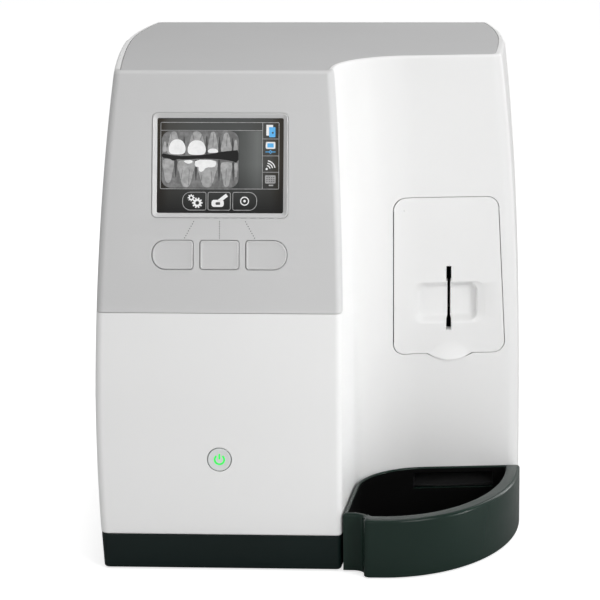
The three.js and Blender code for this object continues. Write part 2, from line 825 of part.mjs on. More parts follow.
// Plan of the tray, drawn in by its rim at the back, the front and the nose
function trayOutline({ back, front, nose }) {
  const wallSide = columnWall(0, baseTop) + tray.gap + back;
  const slant = form.wallSlantShare * form.faceDepth;
  const faceY = (x) => facePlane(x, baseTop) - tray.gap - back;
  const reachX = tray.right - tray.bend - front;
  const reachY = tray.rightDepth + trayReach - front;
  const curve = Array.from({ length: tray.curveSteps + 1 }, (_, step) => {
    const angle = (step / tray.curveSteps - 1) * (Math.PI / 2);
    const [x, y] = [tray.bend + reachX * Math.cos(angle), tray.rightDepth + reachY * Math.sin(angle)];
    return { x, y };
  });
  const right = curve.pop();
  return roundedOutline([
    { x: wallSide, y: nose },
    { x: tray.nose + nose, y: nose, radius: tray.noseRadius + nose, steps: 4 },
    { x: tray.nose + nose, y: front - trayReach, radius: tray.noseCorner, steps: 3 },
    ...curve.slice(1),
    { x: right.x, y: faceY(right.x), radius: tray.rightCorner, steps: 2 },
    { x: wallSide + slant, y: faceY(wallSide + slant), radius: form.coveRadius - tray.gap - back, steps: 8 },
  ]);
}

function catchTray() {
  const outer = (inset) => trayOutline({ back: inset, front: inset, nose: inset });
  const rim = { back: tray.rimBack, front: tray.rimFront, nose: tray.rimNose };
  const inner = (out) => trayOutline({ back: rim.back - out, front: rim.front - out, nose: rim.nose - out });
  const low = edgeRound(footHeight, tray.edge, -1, 2).reverse();
  const high = edgeRound(tray.top, tray.edge, 1, 3);
  const body = loft([...low, ...high].map(({ z, inset }) => ({ z, points: outer(inset) })));
  const lips = edgeRound(tray.top, tray.edge / 2, 1, 2);
  const hollow = loft([
    { z: footHeight + tray.floor, points: inner(-tray.edge / 2) },
    { z: footHeight + tray.floor + tray.edge / 2, points: inner(0) },
    ...lips.map(({ z, inset }) => ({ z, points: inner(inset) })),
    { z: tray.top + overrun, points: inner(tray.edge / 2) },
  ]);
  const channel = cut(
    loft([-overrun, tray.channelTop].map((z) => ({ z, points: outer(tray.skin) }))),
    loft([-overrun * 2, tray.top].map((z) => ({ z, points: inner(tray.skin) }))),
  );
  const mouth = box([exit.left, exit.right], [form.faceDepth / 2, bodyDepth], [exit.low, exit.high]);
  const tongues = tongueLefts.map((left) => {
    const front = facePlane(left, baseTop) - tray.gap - tongue.root;
    const low = footHeight + tray.floor + fit;
    return box([left, left + tongue.wide], [front, front + tongue.reach], [low, low + tongue.thickness]);
  });
  const backWall = cut(join(...tongues), hollow);
  return join(cut(body, hollow, channel, mouth), backWall);
}
add("collection_tray", catchTray(), trayGreen);

// Base pan and its feet

const base = { inset: 1, edge: 6, floor: 4, bossRadius: 5, bossTop: 13.7, slotPlay: 0.6 };
const foot = { radius: 9, recess: 1.5, play: 0.3 };
const footInward = { left: 51, front: 30, right: 41, behindFace: 46, rear: 46 };
const rearFootDepth = bodyDepth - fromBack.feet;
const footPlaces = {
  foot_front_left: [footInward.left - width / 2, footInward.front],
  foot_front_right: [width / 2 - footInward.right, form.faceDepth + footInward.behindFace],
  foot_rear_left: [footInward.rear - width / 2, rearFootDepth],
  foot_rear_right: [width / 2 - footInward.rear, rearFootDepth],
};
const floorTop = footHeight + base.floor;
const bossInward = { left: 71, front: 40, neck: 34.6, neckDepth: 60, heel: 14.6, right: 41, behindFace: 81 };
const rearBossDepth = bodyDepth - fromBack.bosses;
const bossPlaces = [
  [bossInward.left - width / 2, bossInward.front],
  [columnEdge - bossInward.neck, bossInward.neckDepth],
  [bossInward.left - width / 2, rearBossDepth],
  [columnEdge - bossInward.heel, rearBossDepth],
  [width / 2 - bossInward.right, form.faceDepth + bossInward.behindFace],
];

function basePan() {
  const edge = edgeRound(footHeight, base.edge, -1, 3).reverse();
  const at = (z, inset, steps = fineSteps) => ({ z, points: bodyOutline(baseTop, even(inset), steps) });
  const rings = edge.map(({ z, inset }) => at(z, base.inset + inset));
  const outer = loft([...rings, at(baseTop - fit, base.inset)]);
  const inside = base.inset + base.floor;
  const hollow = loft([
    at(floorTop, inside + base.edge / 2, coarseSteps),
    at(floorTop + base.edge / 2, inside, coarseSteps),
    at(height, inside, coarseSteps),
  ]);
  const bossRange = [floorTop / 2, base.bossTop];
  const bosses = bossPlaces.map(([x, y]) => uprightBar(x, y, bossRange, base.bossRadius, 10));
  const recesses = Object.values(footPlaces).map(([x, y]) =>
    uprightBar(x, y, [-overrun, footHeight + foot.recess], foot.radius + foot.play, 20));
  const slots = tongueLefts.map((left) => box(
    [left - base.slotPlay, left + tongue.wide + base.slotPlay],
    [form.faceDepth / 2, form.faceDepth + overrun * 2],
    [floorTop, floorTop + fit * 2 + tongue.thickness + fit],
  ));
  return cut(join(cut(outer, hollow), ...bosses), ...recesses, ...slots);
}
add("base", basePan(), baseGreen);

Object.entries(footPlaces).forEach(([name, [x, y]]) => {
  add(name, uprightBar(x, y, [0, footHeight + foot.recess - fit], foot.radius, 20), rubber);
});

// Power button on the lower front of the left column

const powerShift = 1;
const power = {
  x: columnMiddle - powerShift,
  height: 100.4,
  radius: 10.2,
  gap: 0.6,
  proud: 0.8,
  edge: 0.6,
  back: 6.8,
  flangeRadius: 12.2,
  travel: 1.5,
  boardWide: 50,
  boardTall: 18,
  boardThickness: 1.6,
  postRadius: 3,
};
const powerFlange = wall + fit * 2;
const switchFront = power.back + power.travel + fit;
const powerBoardFront = switchFront + power.boardThickness;

function powerButton() {
  const axis = (y, radius) => rearwardBar(power.x, power.height, y, radius, 32);
  return join(
    axis([-power.proud, 0], power.radius - power.edge),
    axis([power.edge - power.proud, power.back], power.radius),
    axis([powerFlange, powerFlange + keys.flangeThickness], power.flangeRadius),
  );
}
add("power_button", powerButton(), clearWhite);

function powerButtonBoard() {
  const range = [powerBoardFront, powerBoardFront + power.boardThickness];
  const board = box(
    [power.x - power.boardWide / 2, power.x + power.boardWide / 2],
    range,
    [power.height - power.boardTall / 2, power.height + power.boardTall / 2],
  );
  return join(board, rearwardBar(power.x, power.height, [switchFront, range[1] - fit], power.radius / 2, 16));
}
add("power_button_board", powerButtonBoard(), boardGreen);

// Front housing: the white shell in front of the seam

function frontHousing() {
  const front = common(bodyShell, inFrontOf(seamDepth - seamGap / 2));
  const buttonPosts = [-1, 1].map((side) => {
    const x = power.x + side * (power.boardWide / 2 - power.postRadius);
    return rearwardBar(x, power.height, [wall / 2, powerBoardFront - fit], power.postRadius, 12);
  });
  const bosses = hingeEdges.map(([edge, inward]) => {
    const end = edge.clone().addScaledVector(hingeLine, -inward * hinge.bossLength);
    const [left, right] = [Math.min(edge.x, end.x) - door.gap, Math.max(edge.x, end.x) + door.gap];
    const block = box(
      [left, right],
      [Math.min(edge.y, end.y) - overrun, Math.min(edge.y, end.y)],
      [hingeHeight - hinge.bossRadius, hingeHeight + hinge.bossRadius],
    );
    return join(block, hingeBar(edge, inward, -hinge.bossLength, 0, hinge.bossRadius, 16));
  });
  return cut(
    join(cut(front, panelSlab(panel.gap)), ...buttonPosts, common(join(...bosses), bodySolid(wall / 2))),
    doorPrism(door.gap),
    ...hingeBores(),
    rearwardBar(power.x, power.height, [-overrun, powerFlange], power.radius + power.gap, 32),
    box(
      [exit.left - exit.skirt, exit.right + exit.skirt],
      [form.faceDepth / 2, form.faceDepth + overrun * 2],
      [0, exit.high + exit.skirt],
    ),
  );
}
add("front_housing", frontHousing(), shellWhite);

// Top cover in its pocket

function topCover() {
  const bottom = height - lid.thickness;
  return loft([
    { z: bottom, points: bodyOutline(bottom, lid.inset) },
    { z: height - lid.edge, points: bodyOutline(height - lid.edge, lid.inset) },
    { z: height, points: bodyOutline(height, deepen(lid.inset, lid.edge / 2)) },
  ]);
}
add("top_cover", topCover(), lidGrey);

// Rear cover with its tongue behind the seam, its vents and the holes for what it carries

const rear = {
  step: 0.8,
  tongueReach: 6,
  tongueThickness: 1.6,
  endShare: 0.476,
  ventWide: 4,
  ventTall: 42,
  ventPitch: 9,
  ventCount: 9,
  ventHeight: 250,
  portCorner: 0.8,
};
const rearOffsets = { vents: -12, fan: -5, power: -25, network: 20 };
const ventX = columnMiddle + rearOffsets.vents;
const fan = {
  x: slot.x + rearOffsets.fan,
  height: height - fromTop.fan,
  size: 60,
  depth: 15,
  corner: 4,
  bore: 28,
  hub: 11,
  hubBack: 2,
  spoke: 3,
  bladeReach: 26,
  bladeThickness: 1.4,
  chordShare: 0.9,
  blades: 7,
  bladePitch: 0.62,
  running: 0.5,
  slotTall: 3.4,
  slotPitch: 7,
  slots: 7,
};
const powerSideX = columnMiddle + rearOffsets.power;
const inlet = { x: powerSideX, height: 62, wide: 27, tall: 20, flange: 3.5, deep: 24, corner: 3 };
const socket = { wide: 23, tall: 16, deep: 18, corner: 4 };
const pin = { wide: 2, tall: 4, length: 11, spread: 7 };
const toggle = {
  x: powerSideX,
  height: 98,
  wide: 20,
  tall: 13,
  flange: 2.5,
  flangeThickness: 2,
  deep: 16,
  frameWall: 1.6,
  play: 0.4,
  tilt: 8,
  swell: 2,
  axle: 1.2,
  corner: 1.8,
};
const network = {
  x: columnMiddle + rearOffsets.network,
  height: 58,
  wide: 16,
  tall: 14,
  deep: 18,
  jackWide: 12,
  jackTall: 8.5,
  jackDeep: 13,
  lip: 0.6,
};
const screw = { radius: 1.5, headRadius: 3.5, headHeight: 2.2, hole: 1.9, length: 22 };
const screwInward = { left: 49, low: 50, right: 25, upper: [-101, -49] };
const screwPlaces = [
  [screwInward.left - width / 2, screwInward.low],
  [slot.x + screwInward.right, screwInward.low],
  ...screwInward.upper.map((offset) => [slot.x + offset, height - fromTop.screws]),
];
const backFace = bodyDepth - rear.step;
const backInside = bodyDepth - wall;

function rearCover() {
  const behindSeam = seamDepth + seamGap / 2;
  const shell = common(cut(bodySolid(rear.step), bodyCavity), behind(behindSeam));
  const zone = (y, z) => box([-width, width], y, z);
  const sides = [baseTop + overrun, height - overrun];
  const root = zone([behindSeam, behindSeam + overrun], sides);
  const tip = zone([behindSeam - rear.tongueReach, behindSeam + rear.step], sides);
  const outer = join(
    common(bodySolid(wall - rear.step / 2, coarseSteps), root),
    common(bodySolid(wall + fit, coarseSteps), tip),
  );
  const lipRing = cut(outer, bodySolid(wall + fit + rear.tongueThickness, coarseSteps));
  const through = [backInside - overrun, bodyDepth + overrun];
  const vents = Array.from({ length: rear.ventCount }, (_, index) => {
    const x = ventX + (index - (rear.ventCount - 1) / 2) * rear.ventPitch;
    const end = rear.ventWide * rear.endShare;
    return extrude(roundedRectangle(x, rear.ventHeight, rear.ventWide, rear.ventTall, end), "y", through, 2);
  });
  const grille = Array.from({ length: fan.slots }, (_, index) => {
    const rise = (index - (fan.slots - 1) / 2) * fan.slotPitch;
    const wide = Math.sqrt((fan.bore - fan.corner / 2) ** 2 - rise ** 2) * 2;
    const end = fan.slotTall * rear.endShare;
    return extrude(roundedRectangle(fan.x, fan.height + rise, wide, fan.slotTall, end), "y", through, 2);
  });
  const holes = screwPlaces.map(([x, z]) => rearwardBar(x, z, through, screw.hole, 12));
  const port = ({ x, height: z, wide, tall }) =>
    extrude(roundedRectangle(x, z, wide + fit * 2, tall + fit * 2, rear.portCorner), "y", through, 2);
  return cut(join(shell, lipRing), ...vents, ...grille, ...holes, port(inlet), port(toggle), port(network));
}
add("rear_cover", rearCover(), shellWhite);

// Screws, sockets, switch and fan on the rear cover

screwPlaces.forEach(([x, z], index) => {
  const [under, middle] = [backFace + fit, backFace + fit + screw.headHeight / 2];
  const head = rearwardBar(x, z, [under, under + screw.headHeight], screw.headRadius, 16);
  const recess = rearwardBar(x, z, [middle, bodyDepth + overrun], screw.radius / 2, 6);
  const shank = rearwardBar(x, z, [backFace - screw.length, middle], screw.radius, 8);
  add(`rear_screw_${index + 1}`, cut(join(head, shank), recess), darkSteel);
});

function powerInlet() {
  const flangeFront = backFace + fit;
  const face = bodyDepth + rearReach;
  const [wide, tall] = [inlet.wide + inlet.flange * 2, inlet.tall + inlet.flange * 2];
  const flange = roundedRectangle(inlet.x, inlet.height, wide, tall, inlet.corner);
  const body = roundedRectangle(inlet.x, inlet.height, inlet.wide, inlet.tall, inlet.corner / 3);
  const hollow = roundedRectangle(inlet.x, inlet.height, socket.wide, socket.tall, socket.corner);
  const floor = face - socket.deep;
  const pins = [-1, 0, 1].map((place) => {
    const x = inlet.x + place * pin.spread;
    const z = inlet.height + (1 - Math.abs(place) * 2) * (pin.tall / 4);
    return box(
      [x - pin.wide / 2, x + pin.wide / 2],
      [floor - fit, floor + pin.length],
      [z - pin.tall / 2, z + pin.tall / 2],
    );
  });
  const shell = cut(
    join(
      extrude(flange, "y", [flangeFront, face], 3),
      extrude(body, "y", [face - inlet.deep, face - fit], 3),
    ),
    extrude(hollow, "y", [floor, face + overrun], 3),
  );
  return join(shell, ...pins);
}
add("power_inlet", powerInlet(), blackPlastic);

function switchFrame() {
  const flangeFront = backFace + fit;
  const face = flangeFront + toggle.flangeThickness;
  const rectangle = (grow, corner) =>
    roundedRectangle(toggle.x, toggle.height, toggle.wide + grow * 2, toggle.tall + grow * 2, corner);
  return cut(
    join(
      extrude(rectangle(toggle.flange, toggle.corner), "y", [flangeFront, face], 3),
      extrude(rectangle(0, toggle.axle), "y", [face - toggle.deep, face - fit], 2),
    ),
    extrude(
      rectangle(-toggle.frameWall, toggle.axle / 2),
      "y",
      [face - toggle.deep + toggle.frameWall, face + overrun],
      2,
    ),
  );
}
add("power_switch_frame", switchFrame(), blackPlastic);

// Rocker: a shallow V on the line of its axle, it leans to one side at rest
const rockerWide = toggle.wide - (toggle.frameWall + toggle.play) * 2;
const rockerHalf = toggle.tall / 2 - toggle.frameWall - toggle.play - toggle.swell / 2;
const toggleAxis = point(
  toggle.x,
  backFace + fit + toggle.flangeThickness - toggle.swell,
  toggle.height,
);
const rocker = new THREE.Group();
rocker.position.copy(toggleAxis);
rocker.rotation.x = THREE.MathUtils.degToRad(toggle.tilt);
scanner.add(rocker);

function rockerCap() {
  const shape = new THREE.Shape();
  shape.moveTo(-toggle.swell * 2, -rockerHalf / 2);
  shape.lineTo(toggle.swell, -rockerHalf);
  shape.quadraticCurveTo(0, 0, toggle.swell, rockerHalf);
  shape.lineTo(-toggle.swell * 2, rockerHalf / 2);
  return extrude(shape, "x", [-rockerWide / 2, rockerWide / 2]);
}
add("power_switch_rocker", rockerCap(), blackPlastic, rocker);

function networkPort() {
  const face = backFace + network.lip;
  const body = roundedRectangle(network.x, network.height, network.wide, network.tall, network.lip);
  const [wide, tall] = [network.jackWide, network.jackTall];
  const jack = roundedRectangle(network.x, network.height, wide, tall, network.lip / 2);
  const latch = roundedRectangle(
    network.x,
    network.height + tall / 2,
    wide / 2,
    network.lip * 4,
    network.lip / 2,
  );
  const inside = [face - network.jackDeep, face + overrun];
  return cut(
    extrude(body, "y", [face - network.deep, face], 2),
    extrude(jack, "y", inside, 2),
    extrude(latch, "y", inside, 2),
  );
}
add("network_port", networkPort(), blackPlastic);

const fanBack = backInside - fit;
const fanFront = fanBack - fan.depth;

function fanFrame() {
  const frame = cut(
    extrude(roundedRectangle(fan.x, fan.height, fan.size, fan.size, fan.corner), "y", [fanFront, fanBack], 3),
    rearwardBar(fan.x, fan.height, [fanFront - overrun, fanBack + overrun], fan.bore, 28),
  );
  const spokeRange = [fanFront, fanFront + fan.hubBack];
  const hub = rearwardBar(fan.x, fan.height, spokeRange, fan.hub, 16);
  const half = fan.spoke / 2;
  const reach = fan.bore + half;
  const across = box([fan.x - reach, fan.x + reach], spokeRange, [fan.height - half, fan.height + half]);
  const upright = box([fan.x - half, fan.x + half], spokeRange, [fan.height - reach, fan.height + reach]);
  return join(frame, hub, across, upright);
}
add("fan_frame", fanFrame(), blackPlastic);

function fanRotor() {
  const front = fanFront + fan.hubBack + fan.running;
  const back = fanBack - fan.running;
  const middle = (front + back) / 2;
  const chord = (back - front) * fan.chordShare;
  const blades = Array.from({ length: fan.blades }, (_, index) => {
    const blade = new THREE.BoxGeometry(fan.bladeReach - fan.hub / 2, chord, fan.bladeThickness);
    blade.rotateX(fan.bladePitch);
    blade.translate((fan.bladeReach + fan.hub / 2) / 2, 0, 0);
    blade.rotateY((index / fan.blades) * Math.PI * 2);
    return blade.translate(fan.x, middle, fan.height);
  });
  return join(rearwardBar(fan.x, fan.height, [front, back], fan.hub, 20), ...blades);
}
add("fan_rotor", fanRotor(), darkSteel);

// Chassis: a folded steel floor, wall, deck and rear flanges

const sheet = 2;
const chassisReach = { left: 41, neck: 10.6, wall: 77, right: 45.3 };
const chassis = {
  left: chassisReach.left - width / 2,
  neck: columnEdge - chassisReach.neck,
  right: slot.x + chassisReach.right,
  front: 15,
  coveBack: 165,
  back: bodyDepth - fromBack.chassis,
  wallX: slot.x - chassisReach.wall,
  wallTop: height - fromTop.chassis,
  deckTop: 162,
  deckFront: 172,
  deckBack: 302,
  tabWide: 16,
  tabHeight: 44,
  flangeReach: 36,
  flangeTall: 30,
};
const chassisFloor = base.bossTop + fit;
const floorSurface = chassisFloor + sheet;
const board = {
  thickness: 1.6,
  lift: 6,
  front: 175,
  back: bodyDepth - fromBack.board,
  low: 120,
  high: height - fromTop.board,
  standoff: 3,
  standoffSides: 10,
  margin: 8,
};

function chassisFrame() {
  const level = [chassisFloor, floorSurface];
  const rearFace = [chassis.back - sheet, chassis.back];
  const wallX = [chassis.wallX, chassis.wallX + sheet];
  const tab = (x) => box(
    [x - chassis.tabWide / 2, x + chassis.tabWide / 2],
    rearFace,
    [chassisFloor, chassisFloor + chassis.tabHeight],
  );
  const flangeX = [wallX[0] - chassis.flangeReach, wallX[1] + chassis.flangeReach];
  const standoffX = [wallX[0] - board.lift, wallX[0] + sheet / 2];
  const standoffs = [board.front + board.margin, board.back - board.margin].flatMap((y) =>
    [board.low + board.margin, board.high - board.margin].map((z) => {
      const [tip, root] = standoffX.map((x) => point(x, y, z));
      return rod(tip, root, board.standoff, board.standoffSides);
    }));
  const holes = screwPlaces.map(([x, z]) =>
    rearwardBar(x, z, [chassis.back - overrun, chassis.back + overrun], screw.hole, 12));
  return cut(
    join(
      box([chassis.left, chassis.neck], [chassis.front, chassis.back], level),
      box([chassis.neck - sheet, chassis.right], [chassis.coveBack, chassis.back], level),
      box(wallX, [chassis.coveBack, chassis.back], [chassisFloor, chassis.wallTop]),
      box(
        [chassis.right - sheet, chassis.right],
        [chassis.deckFront, chassis.deckBack],
        [chassisFloor, chassis.deckTop],
      ),
      box(
        [chassis.wallX, chassis.right],
        [chassis.deckFront, chassis.deckBack],
        [chassis.deckTop - sheet, chassis.deckTop],
      ),
      box(flangeX, rearFace, [chassis.wallTop - chassis.flangeTall, chassis.wallTop]),
      tab(screwPlaces[0][0]),
      tab(screwPlaces[1][0]),
      ...standoffs,
    ),
    ...holes,
  );
}
add("chassis_frame", chassisFrame(), steel);

// Electronics on the chassis

const chipRises = { low: 3, middle: 8, high: 10 };

function mainBoard() {
  const right = chassis.wallX - board.lift - fit;
  const left = right - board.thickness;
  const depth = board.back - board.front;
  const tall = board.high - board.low;
  const chipShares = [
    { y: [0.3, 0.48], z: [0.4, 0.56], rise: chipRises.low },
    { y: [0.56, 0.66], z: [0.42, 0.52], rise: chipRises.low },
    { y: [0.15, 0.85], z: [0.86, 0.93], rise: chipRises.middle },
    { y: [0.12, 0.22], z: [0.12, 0.34], rise: chipRises.high },
  ];
  const chips = chipShares.map(({ y, z, rise }) => box(
    [left - rise, left + board.thickness / 2],
    y.map((share) => board.front + depth * share),
    z.map((share) => board.low + tall * share),
  ));
  return join(box([left, right], [board.front, board.back], [board.low, board.high]), ...chips);
}
add("main_board", mainBoard(), boardGreen);

const supply = { left: -60, wide: 100, deep: 130, tall: 50 };

function powerSupply() {
  const left = columnMiddle + supply.left;
  const back = bodyDepth - fromBack.supply;
  const low = floorSurface + fit;
  return box([left, left + supply.wide], [back - supply.deep, back], [low, low + supply.tall]);
}
add("power_supply", powerSupply(), darkSteel);

// Plate transport: two plates on posts hold the guides, the rollers, the motor and the scan head

const transportReach = { left: 59, right: 37 };
const transport = {
  left: slot.x - transportReach.left,
  right: slot.x + transportReach.right,
  back: 300,
  plate: 3,
  clear: 89.7,
  post: 6,
};
const plateLow = chassis.deckTop + fit;
const laneLow = plateLow + transport.plate + fit;
const laneHigh = plateLow + transport.plate + transport.clear - fit;
const plateTop = plateLow + transport.plate * 2 + transport.clear;
const lane = { gap: 2.4, wall: 2.6, window: 8.6, scanWindow: 5 };
const rollers = {
  depths: [200, 262],
  low: 178,
  high: 242,
  drive: 8,
  pinch: 6,
  nip: 1.2,
  driveShaft: 2.5,
  pinchShaft: 2,
  play: 0.35,
};
const driveX = slot.x - rollers.drive - rollers.nip / 2;
const pinchX = slot.x + rollers.pinch + rollers.nip / 2;
const motorReach = 41;
const motor = { x: slot.x - motorReach, y: 231, size: 35, tall: 28, shaft: 2.5, pulley: 7 };
const pulley = { radius: 9, low: 2, tall: 8, above: 2, flange: 1.2, flangeReach: 1.6 };
const belt = { margin: 1, thickness: 1.5, steps: 6 };
const shaftTop = plateTop + pulley.low + pulley.tall + pulley.above;

function transportFrame() {
  const [xRange, yRange] = [[transport.left, transport.right], [chassis.deckFront, transport.back]];
  const clearRange = [plateLow, plateTop];
  const posts = xRange.flatMap((x, xIndex) => yRange.map((y, yIndex) => {
    const xEdge = x - transport.post * xIndex;
    const yEdge = y - transport.post * yIndex;
    return box([xEdge, xEdge + transport.post], [yEdge, yEdge + transport.post], clearRange);
  }));
  const bores = rollers.depths.flatMap((y) => [
    uprightBar(driveX, y, [plateLow - overrun, plateTop + overrun], rollers.driveShaft + rollers.play, 12),
    uprightBar(pinchX, y, [plateLow - overrun, plateTop + overrun], rollers.pinchShaft + rollers.play, 12),
  ]);
  return cut(
    join(
      box(xRange, yRange, [plateLow, plateLow + transport.plate]),
      box(xRange, yRange, [plateTop - transport.plate, plateTop]),
      ...posts,
    ),
    ...bores,
    uprightBar(motor.x, motor.y, [laneHigh, plateTop + overrun], motor.shaft + rollers.play, 12),
  );
}
add("transport_frame", transportFrame(), darkSteel);

// Guide plate on one side of the lane, open where the rollers and the scan head reach the plate
function guidePlate(side) {
  const inner = slot.x + (side * lane.gap) / 2;
  const xRange = [inner, inner + side * lane.wall].sort((a, b) => a - b);
  const across = [xRange[0] - overrun, xRange[1] + overrun];
  const tall = [rollers.low - sheet, rollers.high + sheet];
  const window = (y, half) => box(across, [y - half, y + half], tall);
  const scanLine = side > 0 ? [window(motor.y, lane.scanWindow)] : [];
  return cut(
    box(xRange, [chassis.deckFront + fit, transport.back - fit], [laneLow, laneHigh]),
    ...rollers.depths.map((y) => window(y, lane.window)),
    ...scanLine,
  );
}
add("guide_left", guidePlate(-1), guideGrey);
add("guide_right", guidePlate(1), guideGrey);

rollers.depths.forEach((y, index) => {
  const place = ["front", "rear"][index];
  const sleeve = [rollers.low, rollers.high];
  add(
    `drive_roller_${place}`,
    join(
      uprightBar(driveX, y, sleeve, rollers.drive, 20),
      uprightBar(driveX, y, [plateLow + fit, shaftTop], rollers.driveShaft, 12),
    ),
    rubber,
  );
  add(
    `pinch_roller_${place}`,
    join(
      uprightBar(pinchX, y, sleeve, rollers.pinch, 20),
      uprightBar(pinchX, y, [plateLow + fit, plateTop - fit], rollers.pinchShaft, 12),
    ),
    rubber,
  );
});

const pulleyLow = plateTop + pulley.low;

function pulleyWheel(x, y, radius, shaft) {
  const low = pulleyLow - pulley.flange / 2;
  return cut(
    join(
      uprightBar(x, y, [low, pulleyLow + pulley.tall], radius, 20),
      uprightBar(x, y, [low, low + pulley.flange], radius + pulley.flangeReach, 20),
    ),
    uprightBar(x, y, [low - overrun, shaftTop + overrun], shaft + fit, 12),
  );
}
const rollerPulley = (y) => pulleyWheel(driveX, y, pulley.radius, rollers.driveShaft);
add("roller_pulley_front", rollerPulley(rollers.depths[0]), blackPlastic);
add("roller_pulley_rear", rollerPulley(rollers.depths[1]), blackPlastic);
add("motor_pulley", pulleyWheel(motor.x, motor.y, motor.pulley, motor.shaft), blackPlastic);

function transportMotor() {
  const half = motor.size / 2;
  const [xRange, yRange] = [motor.x, motor.y].map((middle) => [middle - half, middle + half]);
  return join(
    box(xRange, yRange, [laneHigh - motor.tall, laneHigh]),
    uprightBar(motor.x, motor.y, [laneHigh - sheet, shaftTop], motor.shaft, 12),
  );
}
add("transport_motor", transportMotor(), darkSteel);

// Loop round the three pulleys, at a distance from their rims
function beltLoop(away) {
  const wheels = [
    { x: motor.x, y: motor.y, radius: motor.pulley + away },
    { x: driveX, y: rollers.depths[0], radius: pulley.radius + away },
    { x: driveX, y: rollers.depths[1], radius: pulley.radius + away },
  ];
  const normals = wheels.map((wheel, index) => {
    const next = wheels[(index + 1) % wheels.length];
    const [dx, dy] = [next.x - wheel.x, next.y - wheel.y];
    return Math.atan2(dy, dx) - Math.acos((wheel.radius - next.radius) / Math.hypot(dx, dy));
  });
  return wheels.flatMap((wheel, index) => {
    const from = normals.at(index - 1);
    const turn = Math.PI * 2;
    const sweep = (((normals[index] - from) % turn) + turn) % turn;
    return Array.from({ length: belt.steps + 1 }, (_, step) => {
      const angle = from + (sweep * step) / belt.steps;
      const [x, y] = [Math.cos(angle), Math.sin(angle)];
      return new THREE.Vector2(wheel.x + wheel.radius * x, wheel.y + wheel.radius * y);
    });
  });
}

function driveBelt() {
  const range = [pulleyLow + belt.margin, pulleyLow + pulley.tall - belt.margin];
  const ring = new THREE.Shape(beltLoop(fit + belt.thickness));
  ring.holes.push(new THREE.Path(beltLoop(fit)));
  return extrude(ring, "z", range);
}
add("drive_belt", driveBelt(), rubber);

// Scan optics beside the lane and on the top plate

const laneRight = slot.x + lane.gap / 2 + lane.wall + fit;
const scanHead = { reach: 33, depth: 42, slit: 3, slitDeep: 6 };

function scanHeadBlock() {
  const [front, back] = [motor.y - scanHead.depth / 2, motor.y + scanHead.depth / 2];
  const slitRange = [motor.y - scanHead.slit / 2, motor.y + scanHead.slit / 2];
  return cut(
    box([laneRight, slot.x + scanHead.reach], [front, back], [laneLow, laneHigh]),
    box([laneRight - overrun, laneRight + scanHead.slitDeep], slitRange, [rollers.low, rollers.high]),
  );
}
add("scan_head", scanHeadBlock(), blackPlastic);

const eraser = { wide: 11, front: 284, back: 296 };
const eraserBar = box([laneRight, laneRight + eraser.wide], [eraser.front, eraser.back], [laneLow, laneHigh]);
add("eraser_lamp", eraserBar, clearWhite);

const optics = plateTop + fit;
const mirrorReach = 20;
const mirror = { x: slot.x + mirrorReach, radius: 12, tall: 9.7, polygon: 10, polygonTall: 6 };
const mirrorDrum = uprightBar(mirror.x, motor.y, [optics, optics + mirror.tall], mirror.radius, 28);
add("mirror_motor", mirrorDrum, darkSteel);

const polygonLow = optics + mirror.tall + fit;
add(
  "polygon_mirror",
  uprightBar(mirror.x, motor.y, [polygonLow, polygonLow + mirror.polygonTall], mirror.polygon, 6),
  steel,
);

const laser = { wide: 12, front: 262, back: 292, tall: 14, tube: 4, tubeReach: 5 };

function laserModule() {
  const [left, right] = [mirror.x - laser.wide / 2, mirror.x + laser.wide / 2];
  const body = box([left, right], [laser.front, laser.back], [optics, optics + laser.tall]);
  const beam = polygonLow + mirror.polygonTall / 2;
  return join(body, rearwardBar(mirror.x, beam, [laser.front - laser.tubeReach, laser.back], laser.tube, 16));
}
add("laser_module", laserModule(), darkSteel);

const tube = { offset: 3, long: 32, depth: 186, radius: 9, cradle: 6 };

function photomultiplier() {
  const middle = optics + tube.radius + sheet;
  const left = slot.x + tube.offset;
  const right = left + tube.long;
  const body = rod(point(left, tube.depth, middle), point(right, tube.depth, middle), tube.radius, 24);
  const cradle = box(
    [left + tube.cradle, right - tube.cradle],
    [tube.depth - tube.cradle, tube.depth + tube.cradle],
    [optics, middle],
  );
  return join(body, cradle);
}
add("photomultiplier", photomultiplier(), darkSteel);

// Plate chute from the end of the lane down to the tray

const chute = {
  low: 33,
  high: 118,
  back: bodyDepth - fromBack.chute,
  start: 136,
  sheet: 2.2,
  side: 12,
  wall: 2,
  feet: [205, bodyDepth - fromBack.chuteFoot],
};

